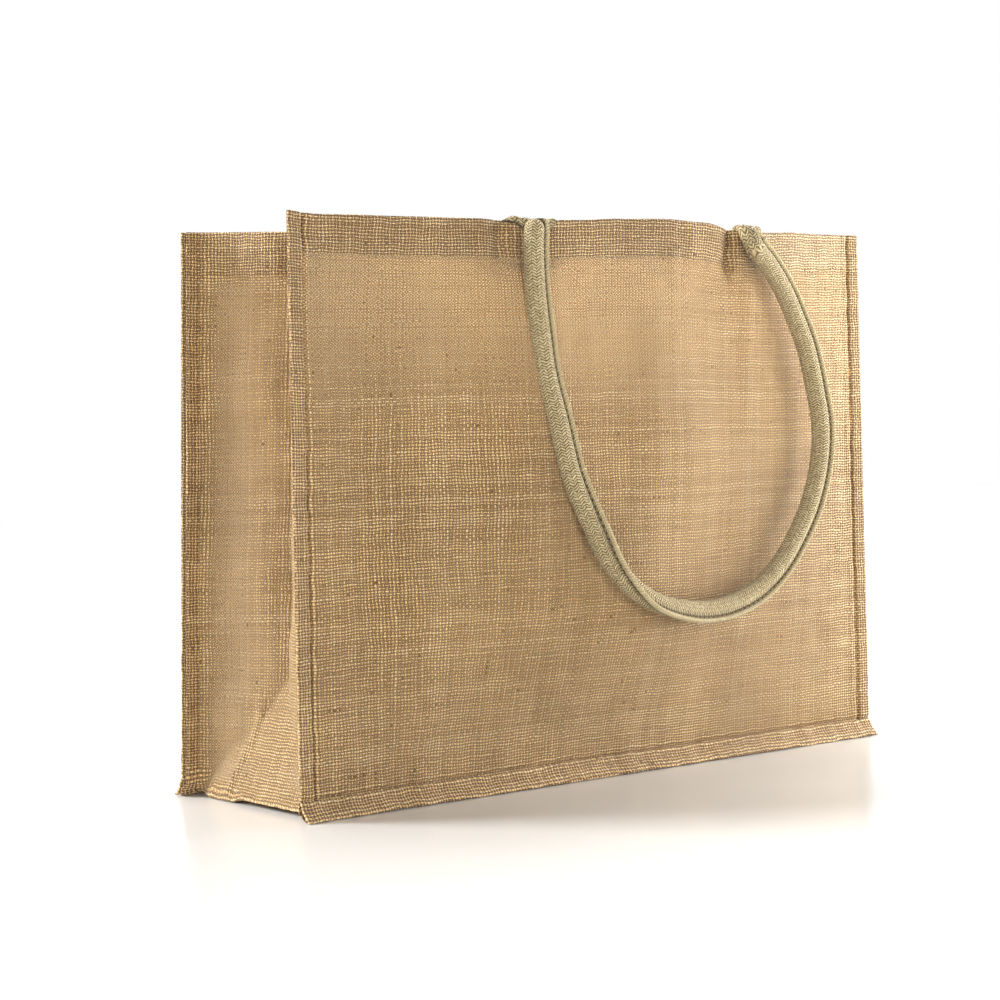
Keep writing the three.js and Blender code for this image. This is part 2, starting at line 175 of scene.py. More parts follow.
def uneven(x, z, seed, wave, waves=9):
    """A smooth random relief between about -1 and 1, of waves about as long as wave."""
    draw = np.random.RandomState(seed)
    total = np.zeros(np.broadcast(x, z).shape)
    for _ in range(waves):
        turn, start = draw.uniform(0, math.pi), draw.uniform(0, 2 * math.pi)
        length = wave * draw.uniform(0.7, 1.6)
        total += np.sin((x * math.cos(turn) + z * math.sin(turn)) * 2 * math.pi / length + start)
    return total / math.sqrt(waves)


class BagShape:
    """The bag's surfaces in millimetres, from the sizes in the sidebar."""

    # Panels: how far the side margins' edges stand forward and the bottom ones flare, the height at which
    # the low bulge is complete, and the small unevenness.
    margin_forward, flare, flare_curve = 1.2, 8.5, 1.5
    full_bulge, crest_climb, crest_sharpness = 126, 1.2, 9
    wave = 1.1
    # How deep the gusset folds inwards above its triangle and at the mouth, and how high the triangle is.
    fold_depth_low, fold_depth_top, triangle = 28, 38, 75
    fold_sharpness, fold_swell = 85, 0.45
    # How far the folded middle of the gusset's top edge hangs down, and from what height on it does.
    top_sag, sag_from, sag_over = 4.5, 240, 110
    # The fold between a side and the bottom, and the bottom cloth's climb to its seams.
    side_fold_rise, side_fold_length = 3.2, 42
    bank, bottom_half = 14, 0.75
    gusset_margin, gusset_margin_foot, margin_step = 8, 1.8, 3.2
    # The back corners' seams come down to the floor: how far, and over what length of them.
    corner_drop, corner_from, corner_length = 6.5, 20, 70
    rope_standoff = 9.2

    def __init__(self, sizes):
        for key in ("height", "width", "margin", "foot_half", "mouth_half", "lean", "seam_rise",
                    "panel_hem", "gusset_hem"):
            setattr(self, key, getattr(sizes, key) / MM)
        self.side = self.width / 2 - self.margin

    def leaned(self, points):
        """The same points with the lean of the whole bag."""
        out = points.copy()
        out[..., 0] += self.lean * (out[..., 2] / self.height - 0.5)
        return out

    def seam_half(self, z):
        return mix(self.foot_half, self.mouth_half, z / self.height)

    def edge_drop(self, x, z):
        places, drops = np.array(EDGE_DROPS).T
        i = np.clip(np.searchsorted(places, x), 1, len(places) - 1)
        t = smooth((x - places[i - 1]) / (places[i] - places[i - 1]))
        return mix(drops[i - 1], drops[i], t) * smooth(1 - (self.height - z) / DROP_FADE)

    def fold_height(self, x, z):
        total = 0.0
        for top_x, top_z, foot_x, foot_z, half, out in FOLDS:
            t = (top_z - z) / (top_z - foot_z)
            ridge = bell(x - mix(top_x, foot_x, t), half)
            total = total + out * ridge * smooth(t * 4) * smooth((1 - t) * 2.5)
        return total

    def panel_bulge(self, panel, x, z):
        """How far a panel's middle surface lies from the bag's middle plane, without its folds."""
        rise = np.maximum(0, z - self.seam_rise)
        up = rise / (self.height - self.seam_rise)
        margin = self.margin_forward * np.maximum(0, np.abs(x) - self.side) / self.margin
        flare = self.flare * np.maximum(0, 1 - z / self.seam_rise) ** self.flare_curve
        across = np.clip((x + self.side) / (2 * self.side), 0, 1)
        crest = mix(panel["crest_low"], panel["crest_high"], smooth(up * self.crest_climb))
        hump = np.maximum(0, soft_min(across / crest, (1 - across) / (1 - crest), self.crest_sharpness))
        size = panel["bulge_low"] * smooth(rise / (self.full_bulge - self.seam_rise))
        size = size + (panel["bulge_high"] - panel["bulge_low"]) * up
        return self.seam_half(z) + margin + flare + size * hump

    def panel_reach(self, panel, x, z):
        """The same with its folds and its small unevenness."""
        phase = panel["phase"]
        ripple = np.sin(x / 31 + z / 70 + phase) * np.sin(z / 43 - x / 120 + phase)
        free = np.cos(math.pi * x / (2 * self.side)) * smooth((z - self.seam_rise) / 60)
        ripple = self.wave * ripple * np.maximum(0, free)
        return self.panel_bulge(panel, x, z) + self.fold_height(x, z) + ripple

    def fold_depth(self, z):
        return mix(self.fold_depth_low, self.fold_depth_top,
                   np.clip((z - self.triangle) / (self.height - self.triangle), 0, 1))

    def floor_rise(self, x):
        end = (np.abs(x) - (self.side - self.side_fold_length)) / self.side_fold_length
        return mix(self.bottom_half, self.side_fold_rise, smooth(end))

    def behind_panel(self, panel, x, z):
        """A place on the gusset's margin, which lies close behind a panel's margin."""
        reach, facing = partial(self.panel_reach, panel), panel["facing"]
        normal = facing_out(reach, facing, x, z)
        return np.stack([x, facing * reach(x, z), z], axis=-1) - self.margin_step * normal

    def rope_curve(self, panel):
        """Dense points of a handle's rope and the direction of its fin at each of them."""
        route = []
        for x, z, out, _ in HANDLE_ROUTE:
            pre = x - self.lean * (z / self.height - 0.5)
            reach = float(self.panel_bulge(panel, np.array(pre), np.array(float(z)))) + self.rope_standoff
            route.append(np.array([x, panel["facing"] * (reach + out), z], dtype=float))
        points, fins = [], []
        ends = [2 * route[0] - route[1], *route, 2 * route[-1] - route[-2]]
        for i in range(len(route) - 1):
            p0, p1, p2, p3 = ends[i:i + 4]
            d0, d1, d2 = (np.linalg.norm(b - a) ** 0.5 for a, b in ((p0, p1), (p1, p2), (p2, p3)))
            m1 = ((p1 - p0) / d0 - (p2 - p0) / (d0 + d1) + (p2 - p1) / d1) * d1
            m2 = ((p2 - p1) / d1 - (p3 - p1) / (d1 + d2) + (p3 - p2) / d2) * d1
            for t in np.arange(20) / 20:
                points.append(p1 + m1 * t + (-3 * p1 + 3 * p2 - 2 * m1 - m2) * t ** 2
                              + (2 * p1 - 2 * p2 + m1 + m2) * t ** 3)
                fins.append(mix(HANDLE_ROUTE[i][3], HANDLE_ROUTE[i + 1][3], t))
        points.append(route[-1])
        fins.append(HANDLE_ROUTE[-1][3])
        return np.array(points), np.array(fins, dtype=float)

    def rope_frames(self, panel, step):
        """Centres of a handle's rings a step apart, with their tangent, fin and side directions."""
        points, fins = self.rope_curve(panel)
        walked = lengths_along(points)
        places = np.linspace(0, walked[-1], round(walked[-1] / step) + 1)
        centre = along_line(points, walked, places).T
        fin = np.radians(np.interp(places, walked, fins))[:, None]
        tangent = unit(np.gradient(centre, axis=0))
        facing = panel["facing"]
        inward = unit(np.cross(np.array([0.0, facing, 0.0]), tangent)) * -facing
        forward = np.cross(tangent, inward) * -facing
        fin_way = inward * np.cos(fin) + forward * np.sin(fin)
        return places, centre, tangent, fin_way, np.cross(tangent, fin_way)


# ---------------------------------------------------------------- meshes

def make_mesh(name, points, faces, uvs=None, bake=None, marks=None, sharp=50):
    """A new object from points in millimetres. uvs are the weave's coordinates of each point in millimetres,
    bake its place between 0 and 1 in the unfolded piece, and marks more values for each point, by name."""
    mesh = bpy.data.meshes.new(name)
    mesh.from_pydata((np.asarray(points) * MM).tolist(), [], [tuple(f) for f in faces])
    mesh.validate()
    corners = np.empty(len(mesh.loops), dtype=np.int64)
    mesh.loops.foreach_get("vertex_index", corners)
    for label, values in (("OFBake", bake), ("cloth", uvs)):
        if values is not None:
            layer = mesh.uv_layers.new(name=label)
            layer.uv.foreach_set("vector", np.asarray(values)[corners].astype(np.float32).ravel())
    for label, values in (marks or {}).items():
        mark = mesh.attributes.new(label, "FLOAT", "POINT")
        mark.data.foreach_set("value", np.asarray(values, dtype=np.float32).ravel())
    mesh.shade_smooth()
    mesh.set_sharp_from_angle(angle=math.radians(sharp))
    obj = bpy.data.objects.new(name, mesh)
    bpy.context.collection.objects.link(obj)
    return obj


def grid_faces(rows, cols, start=0, turn=False):
    i, j = np.meshgrid(np.arange(rows - 1), np.arange(cols - 1), indexing="ij")
    a = (start + i * cols + j).ravel()
    quads = np.stack([a, a + 1, a + cols + 1, a + cols], axis=1)
    return quads[:, ::-1] if turn else quads


def sheet_object(name, middle, outer, inner, cloth, **marks):
    """A closed thin sheet. middle is a grid of points, outer and inner are how far its two faces stand from
    it along its normal, cloth the coordinates of the weave and marks more values for each point."""
    rows, cols = middle.shape[:2]
    normal = unit(np.cross(np.gradient(middle, axis=1), np.gradient(middle, axis=0)))
    faces = [middle + normal * outer[..., None], middle + normal * inner[..., None]]
    points = np.concatenate([f.reshape(-1, 3) for f in faces])
    count = rows * cols
    a = np.arange(count).reshape(rows, cols)
    rim = np.concatenate([a[0, :-1], a[:-1, -1], a[-1, :0:-1], a[:0:-1, 0]])
    after = np.roll(rim, -1)
    strip = np.stack([rim, rim + count, after + count, after], axis=1)
    quads = np.concatenate([grid_faces(rows, cols), grid_faces(rows, cols, count, turn=True), strip])
    along = np.linspace(0.01, 0.99, cols)[None, :].repeat(rows, 0)
    up = np.linspace(0.01, 0.485, rows)[:, None].repeat(cols, 1)
    bake = np.concatenate([
        np.stack([along, up], axis=-1).reshape(-1, 2),
        np.stack([along, up + 0.505], axis=-1).reshape(-1, 2),
    ])
    flat = cloth.reshape(-1, 2)
    both = {label: np.tile(values.ravel(), 2) for label, values in marks.items()}
    return make_mesh(name, points, quads, np.concatenate([flat, flat]), bake, both)


def edge_roll(away, radius):
    """How full a rolled edge is at a distance from it: 0.2 at the edge itself and 1 from radius on."""
    t = np.clip(away / radius, 0, 1)
    return mix(0.2, 1.0, np.sqrt(np.maximum(0, 1 - (1 - t) ** 2)))


def stitch_row(points, outward, length, gap, radius):
    """Points and faces of a row of stitches along a line: each is a small bar that dips at its ends."""
    walked = lengths_along(points)
    verts, faces = [], []
    sides = 6
    profile = ((0.0, 0.25, -1.0), (0.18, 0.85, -0.1), (0.5, 1.0, 0.35), (0.82, 0.85, -0.1), (1.0, 0.25, -1.0))
    for start in np.arange(gap, walked[-1] - length, length + gap):
        base = len(verts)
        for share, size, lift in profile:
            at = start + share * length
            behind, centre, ahead = along_line(points, walked, (at - 0.3, at, at + 0.3)).T
            out = unit(along_line(outward, walked, at))
            across = unit(np.cross(unit(ahead - behind), out))
            for turn in np.arange(sides) * 2 * math.pi / sides:
                verts.append(centre + out * radius * (lift + size * math.sin(turn))
                             + across * radius * size * math.cos(turn))
        for ring in range(len(profile) - 1):
            for k in range(sides):
                a, b = base + ring * sides + k, base + ring * sides + (k + 1) % sides
                faces.append((a, b, b + sides, a + sides))
        faces.append(tuple(range(base + sides - 1, base - 1, -1)))
        last = base + (len(profile) - 1) * sides
        faces.append(tuple(range(last, last + sides)))
    return verts, faces


def stitches_object(name, rows_of_stitches):
    """One object from several rows of stitches: (points, outward, length, gap, radius) each."""
    verts, faces = [], []
    for row in rows_of_stitches:
        more, quads = stitch_row(*row)
        faces += [tuple(k + len(verts) for k in quad) for quad in quads]
        verts += more
    return make_mesh(name, verts, faces)


# ---------------------------------------------------------------- materials

def linear(hex_colour):
    """Linear red, green and blue from an sRGB hex value."""
    shares = [int(hex_colour[k:k + 2], 16) / 255 for k in (1, 3, 5)]
    return [c / 12.92 if c <= 0.04045 else ((c + 0.055) / 1.055) ** 2.4 for c in shares]


def add(tree, kind, inputs=(), out=0, stops=(), **settings):
    """Adds a node and gives one of its outputs. A kind in capitals is what a Math node does. Each input is a
    value or another node's output, and stops are the places and colours of a ramp, its two ends first."""
    if kind.isupper():
        kind, settings = "Math", {"operation": kind, **settings}
    node = tree.nodes.new("ShaderNode" + kind)
    for key, value in settings.items():
        setattr(node, key, value)
    for key, value in inputs.items() if isinstance(inputs, dict) else enumerate(inputs):
        if isinstance(value, bpy.types.NodeSocket):
            tree.links.new(value, node.inputs[key])
        else:
            node.inputs[key].default_value = value
    for number, (place, colour) in enumerate(stops):
        marks = node.color_ramp.elements
        mark = marks[number] if number < 2 else marks.new(place)
        mark.position, mark.color = place, (*colour, 1)
    return node.outputs[out] if node.outputs else None


def new_material(name):
    """A new material and the call that adds nodes to it."""
    material = bpy.data.materials.new(name)
    material.use_nodes = True
    material.node_tree.nodes.clear()
    return material, partial(add, material.node_tree)


def finish_material(put, inputs, glow=None, share=0.0):
    """Closes a material with the principled shader, mixed with a share of light that shines through."""
    surface = put("BsdfPrincipled", inputs)
    if glow is not None:
        surface = put("MixShader", (share, surface, put("BsdfTranslucent", {"Color": glow})))
    put("OutputMaterial", {"Surface": surface})


def woven_jute(look):
    """Undyed jute in an open plain weave: single yarns of uneven thickness cross over and under each other,
    and the small square gaps between them, closed only by fluff, let light through. The yarns are dull and
    hairy, so they scatter light without gloss."""
    # Painted light in the colour: the glow of the gaps under the backlight mask, and the shade between the
    # yarns.
    material, put = new_material("Plain-woven jute")
    cloth = put("UVMap", uv_map="cloth")
    layers = put("Attribute", attribute_name="layers", out="Fac")
    single = put("SUBTRACT", (1.0, layers), use_clamp=True)
    # Painted backlight, a fixed mask: where light from behind is taken to fall, the gaps are drawn wider,
    # as if it shone through their fluff.
    lit = put("Attribute", attribute_name="lit", out="Fac")
    # The gaps show there, and in doubled cloth, where they are painted dark as shade.
    open_weave = put("MULTIPLY", (layers, 0.45))
    open_weave = put("MAXIMUM", (open_weave, lit))
    # Towards one side of the cut the level yarns lie nearer the face and the upright ones deeper.
    close = put("MapRange", (put("SeparateXYZ", (cloth,)), 280.0, 400.0))

    # The yarns wander by a millimetre over 90 mm, and by half of one over 9 mm.
    place = cloth
    for reach, wave in ((2.4, 90), (1.1, 9)):
        drift = put("TexNoise", {"Vector": cloth, "Scale": 1 / wave, "Detail": 0}, out="Color",
                    noise_dimensions="2D")
        drift = put("VectorMath", (drift, (0.5, 0.5, 0.5)), operation="SUBTRACT")
        drift = put("VectorMath", {0: drift, 3: reach}, operation="SCALE")
        place = put("VectorMath", (place, drift), operation="ADD")
    # In yarns: x counts the upright yarns and y the level ones.
    spacing = (look.warp_spacing / MM, look.weft_spacing / MM, 1)
    place = put("VectorMath", (place, spacing), operation="DIVIDE")
    parts = put("SeparateXYZ", (place,)).node.outputs

    yarns = []
    thin, thick = look.yarn_share / 2 - 0.04, look.yarn_share / 2 + 0.08
    # The upright yarns, and the level ones, which are a little fuller and lie nearer the face: their own and
    # the other axis, a number for their chances, how far they rise and dive, how high they lie, how much more
    # so on the close side, how much wider they are there, and how much narrower where the gaps show.
    for own, other, seed, rise, base, raised, swell, shrink in (
        (0, 1, 0.0, 0.48, 0.97, -0.08, 0.0, -0.125),
        (1, 0, 57.0, -0.48, 1.03, 0.05, -0.02, -0.085),
    ):
        count, along = parts[own], parts[other]
        number = put("FLOOR", (count,))
        away = put("SUBTRACT", (put("FRACT", (count,)), 0.5))
        away = put("ABSOLUTE", (away,))
        tag = put("ADD", (number, seed))
        chance = put("TexWhiteNoise", {"W": tag}, noise_dimensions="1D")
        # Thick and thin places a few centimetres long along each yarn.
        spot = put("CombineXYZ", (put("MULTIPLY", (along, 0.13)), put("MULTIPLY", (tag, 3.7))))
        slub = put("TexNoise", {"Vector": spot, "Scale": 1.0, "Detail": 1.0}, noise_dimensions="2D")
        width = put("MapRange", (slub, 0.25, 0.75, thin, thick))
        for part, more in ((chance, 0.04), (open_weave, shrink), (close, swell)):
            width = put("MULTIPLY_ADD", (part, more, width))
        side = put("POWER", (put("DIVIDE", (away, width)), 2.0))
        side = put("SUBTRACT", (1.0, side), use_clamp=True)
        full = put("SQRT", (side,))
        # Over one yarn and under the next.
        turn = put("MULTIPLY", (put("ADD", (along, number)), math.pi))
        lift = put("MULTIPLY_ADD", (put("SINE", (turn,)), rise, base))
        lift = put("MULTIPLY_ADD", (close, raised, lift))
        height = put("MULTIPLY", (full, lift))
        # Fibres run along the yarn with a slight twist, about 0.3 mm apart.
        strand = put("CombineXYZ", (put("MULTIPLY", (count, 5.5)), along, seed))
        yarns.append((height, strand, put("CombineXYZ", (chance, slub))))

    (warp, *warp_marks), (weft, *weft_marks) = yarns
    top = put("MAXIMUM", (warp, weft))
    warp_up = put("GREATER_THAN", (warp, weft))
    strand, marks = [put("Mix", {0: warp_up, 4: below, 5: above}, out=1, data_type="VECTOR")
                     for below, above in zip(weft_marks, warp_marks)]
    chance, slub, _ = put("SeparateXYZ", (marks,)).node.outputs
    fibre = put("TexNoise", {"Vector": strand, "Scale": 1.0, "Detail": 1.0})
    hole = put("MapRange", (top, 0.05, 0.55, 1.0, 0.0))

    # Colour: a little by yarn and by fibre, with rare brown lengths where bark is left in the yarn.
    shade = 0.13
    for part, share in ((chance, 0.20), (fibre, 0.34), (slub, 0.20)):
        shade = put("MULTIPLY_ADD", (part, share, shade))
    bark = put("MapRange", (slub, 0.21, 0.17, 0.0, 0.35))
    shade = put("SUBTRACT", (shade, bark))
    colour = put("ValToRGB", (shade,), stops=(
        (0.20, look.jute_dark), (0.80, look.jute_light), (0.50, look.jute_mid),
    ))
    blotch = put("TexNoise", {"Vector": cloth, "Scale": 1 / 70, "Detail": 1.0}, noise_dimensions="2D")
    blotch = put("MapRange", (blotch, 0.3, 0.7, 0.92, 1.07))
    # Painted light and shade: the hems and margins, with no light from behind them, are painted a little
    # darker than single cloth, and the low places between the yarns are painted brown as shade.
    doubled = put("MapRange", (layers, 0.0, 1.0, 1.2, look.hem_shade))
    colour = put("VectorMath", {0: colour, 3: put("MULTIPLY", (doubled, blotch))}, operation="SCALE")
    deep = put("MapRange", (top, 1.35, 0.6, 0.0, look.gap_shade))
    # Painted glow: gaps of single cloth under the backlight mask are painted in the glow colour.
    painted_glow = put("MULTIPLY", (put("MULTIPLY", (hole, lit)), single))
    for share, tint in ((deep, look.jute_gap), (painted_glow, look.jute_glow_painted_and_translucent)):
        colour = put("Mix", {0: share, 6: colour, 7: (*tint, 1)}, out=2, data_type="RGBA")

    relief = put("MULTIPLY_ADD", (fibre, 0.25, top))
    # The gaps of single cloth let most of the light through and its yarns a little; doubled cloth lets none.
    share = put("MapRange", (hole, 0.0, 1.0, look.translucency, look.openness))
    glow = put("Mix", {0: hole, 6: (*look.jute_through, 1), 7: (*look.jute_glow_painted_and_translucent, 1)}, out=2, data_type="RGBA")
    finish_material(put, {
        "Base Color": colour, "Roughness": 0.7, "Specular IOR Level": 0.3, "Sheen Weight": 0.12,
        "Sheen Roughness": 0.5, "Normal": put("Bump", {"Strength": 1.0, "Distance": 0.001, "Height": relief}),
    }, glow, put("MULTIPLY", (share, single)))
    return material


def herringbone_webbing(look):
    """Undyed cotton webbing in a close herringbone: plump strands slant up to the middle of each pair of
    columns like the legs of a V, so the strap looks knitted, with small dark pits where the strands dive."""
    material, put = new_material("Herringbone cotton webbing")
    cloth = put("UVMap", uv_map="cloth")
    wander = put("TexNoise", {"Vector": cloth, "Scale": 0.45, "Detail": 0}, out="Color",
                 noise_dimensions="2D")
    wander = put("VectorMath", (wander, (0.9, 0.9, 0.0), cloth), operation="MULTIPLY_ADD")
    across, along, _ = put("SeparateXYZ", (wander,)).node.outputs
    column = look.column_width / MM
    # Slanted strands: the slant turns round at the edge of each column.
    slant = put("MULTIPLY_ADD", (put("PINGPONG", (across, column)), 0.65, along))
    count = put("DIVIDE", (slant, look.strand_spacing / MM))
    lane = put("DIVIDE", (across, column))
    ridge, belly = count, lane
    for operation, *more in (("MULTIPLY", math.pi), ("SINE",), ("ABSOLUTE",)):
        ridge = put(operation, (ridge, *more))
        belly = put(operation, (belly, *more))
    # Each strand is full in the middle of its column and dives at the column's edges.
    belly = put("MapRange", (belly, 0.0, 0.55, 0.62, 1.0))
    height = put("POWER", (put("MULTIPLY", (ridge, belly)), 0.65))
    number, lane = (put("FLOOR", (part,)) for part in (count, lane))
    chance = put("TexWhiteNoise", {"W": put("MULTIPLY_ADD", (lane, 13.7, number))}, noise_dimensions="1D")
    fluff = put("TexNoise", {"Vector": cloth, "Scale": 1.4, "Detail": 1.0}, noise_dimensions="2D")
    # Colour by height: where the strands dive, the pits are painted darker as shade; chance and fluff add
    # random tone.
    shade = put("MULTIPLY", (height, 0.78))
    for part, share in ((chance, 0.16), (fluff, 0.24)):
        shade = put("MULTIPLY_ADD", (part, share, shade))
    colour = put("ValToRGB", (shade,), stops=(
        (0.30, look.webbing_dark), (1.0, look.webbing_light), (0.66, look.webbing_mid),
    ))
    # The fin's outer face is the webbing's closely woven selvedge, almost flat; its paler colour is partly
    # its own tone and partly painted light.
    fin = put("MULTIPLY", (put("Attribute", attribute_name="fin", out="Fac"), 0.5))
    colour = put("Mix", {0: fin, 6: colour, 7: (*look.webbing_edge, 1)}, out=2, data_type="RGBA")
    # Painted shade: the stitched groove beside the fin, where the thread lies, is darkened in the colour.
    groove = put("Attribute", attribute_name="layers", out="Fac")
    groove = put("MapRange", (groove, 0.05, 0.8, 1.0, 0.2))
    relief = put("MULTIPLY", (height, put("SUBTRACT", (1.0, fin))))
    relief = put("MULTIPLY_ADD", (fluff, 0.2, relief))
    finish_material(put, {
        "Base Color": put("VectorMath", {0: colour, 3: groove}, operation="SCALE"), "Roughness": 0.88,
        "Specular IOR Level": 0.3, "Sheen Weight": 0.12, "Sheen Roughness": 0.5,
        "Normal": put("Bump", {"Strength": 1.0, "Distance": 0.0009, "Height": relief}),
    })
    return material


def spun_thread(look):
    """Spun jute sewing thread: matt, with the light and dark of its twist 1 mm apart."""
    material, put = new_material("Spun jute thread")
    place = put("TexCoord", out="Object")
    twist = put("TexNoise", {"Vector": place, "Scale": 1000.0, "Detail": 1.0})
    share = put("MapRange", (twist, 0.3, 0.7, 0.75, 1.1))
    finish_material(put, {
        "Base Color": put("VectorMath", {0: tuple(look.thread_colour), 3: share}, operation="SCALE"),
        "Roughness": 0.85, "Specular IOR Level": 0.3,
        "Normal": put("Bump", {"Strength": 0.5, "Distance": 0.0001, "Height": twist}),
    })
    return material


def white_acrylic(stage):
    """Cast white acrylic sheet, polished: white with a soft, faint reflection of what stands on it."""
    material, put = new_material("White acrylic sheet")
    place = put("TexCoord", out="Object")
    haze = put("TexNoise", {"Vector": place, "Scale": 6.0, "Detail": 2.0})
    rough = put("MapRange", (haze, 0.3, 0.7, 0.16, 0.22))
    finish_material(put, {"Base Color": (*stage.floor_colour, 1), "Roughness": rough, "IOR": 1.49})
    return material


def material_named(name, make, look):
    """The material of that name, made the first time that it is asked for."""
    return bpy.data.materials.get(name) or make(look)


def dress(obj, material, slot, *nodes):
    """Gives a piece its material, lets it ride on the bag and stand for CAD nodes. Its slot is not used."""
    obj.data.materials.append(material)
    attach(obj, "root")
    if nodes:
        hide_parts(*nodes)


# ---------------------------------------------------------------- sizes and colours in the sidebar

def length(name, description, millimetres, smallest=0.0):
    return bpy.props.FloatProperty(
        name=name, description=description, default=millimetres * MM, min=smallest * MM, unit="LENGTH",
        precision=4,
    )


def amount(name, description, value, most=100.0, subtype="NONE"):
    return bpy.props.FloatProperty(
        name=name, description=description, default=value, min=0.0, max=most, subtype=subtype,
    )


def share_of(name, description, value, most=1.0):
    return amount(name, description, value, most, "FACTOR")


def colour_value(name, description, hex_colour):
    return bpy.props.FloatVectorProperty(
        name=name, description=description, default=linear(hex_colour), size=3, min=0.0, max=1.0,
        subtype="COLOR",
    )


class ToteSizes(bpy.types.PropertyGroup):
    """Sizes of the bag."""

    height: length("Height", "Floor to the top edge", 350)
    width: length("Width", "Across the outer edges of the side margins", 468)
    margin: length("Seam margin", "Cloth outside the stitching", 10)
    foot_half: length("Half depth at the foot", "Middle of the bag to the bottom seams", 69)
    mouth_half: length("Half depth at the mouth", "Middle of the bag to the side seams at the top", 61.5)
    lean: length("Lean", "How far the top stands to the right of the foot", 11.4, -50)
    seam_rise: length("Bottom seam height", "Floor to the bottom stitching", 11)
    panel_hem: length("Panel hem", "Depth of the panels' top hems", 24)
    gusset_hem: length("Gusset hem", "Depth of the gusset's two hems", 28)


class ToteCloth(bpy.types.PropertyGroup):
    """Yarns and colours of the jute cloth."""

    warp_spacing: length("Warp spacing", "Middle to middle of the upright yarns", 2.1)
    weft_spacing: length("Weft spacing", "Middle to middle of the level yarns", 1.78)
    yarn_share: share_of("Yarn share", "Share of the spacing that a yarn covers", 0.64)
    openness: share_of("Openness", "Share of light that shines through the gaps", 0.65)
    translucency: share_of("Translucency", "Share of light that shines through the yarns", 0.12)
    hem_shade: share_of("Hem shade", "Brightness of doubled cloth beside single cloth", 1.14, 2.0)
    gap_shade: share_of("Gap shade", "How dark it is between the yarns", 0.92)
    jute_light: colour_value("Light jute", "Pale yarns", "#ead5a8")
    jute_mid: colour_value("Jute", "Most of the yarn", "#d8b27a")
    jute_dark: colour_value("Dark jute", "Bark-rich yarns", "#8c6a38")
    # This colour is painted into the gaps as painted glow, and is also the colour of light that shines
    # through them.
    jute_glow_painted_and_translucent: colour_value("Glow", "Light that has come through the fluff of the gaps", "#ffe6c0")
    jute_through: colour_value("Glow of yarn", "Light that has come through the yarns", "#dcb27a")
    jute_gap: colour_value("Gap", "Shade between the yarns", "#56391b")


class ToteHandles(bpy.types.PropertyGroup):
    """Sizes and colours of the handles."""

    rope_radius: length("Rope radius", "Rope with the webbing round it", 6.2)
    fin_reach: length("Fin reach", "Rope's centre to the edge of the stitched fin", 9.95)
    fin_half: length("Fin half thickness", "Half the thickness of the doubled webbing", 1.55)
    column_width: length("Herringbone column", "Width of one column of slanted strands", 2.7)
    strand_spacing: length("Strand spacing", "Middle to middle of the slanted strands", 1.8)
    webbing_light: colour_value("Light webbing", "Raised strands", "#c9b88e")
    webbing_mid: colour_value("Webbing", "Most of the webbing", "#937e56")
    webbing_dark: colour_value("Dark webbing", "Between the strands", "#4c3c20")
    webbing_edge: colour_value("Selvedge", "Outer edge of the stitched fin", "#b8a982")
    thread_colour: colour_value("Thread", "Sewing thread", "#a58b60")


class ToteStage(bpy.types.PropertyGroup):
    """Floor and lamps."""

    floor_colour: colour_value("Floor", "Colour of the floor sheet", "#dad9d7")
    key: amount("Key light", "Strength of the light from the right", 5.7)
    window: amount("Window light", "Strength of the light from the back left", 6.0)
    side: amount("Side light", "Strength of the light from the back right", 2.6)
    top: amount("Top light", "Strength of the light from behind and above", 2.1)
    fill: amount("Fill light", "Strength of the light from the front", 1.4)
    left: amount("Left light", "Strength of the light from the left", 1.6)


# ---------------------------------------------------------------- operators

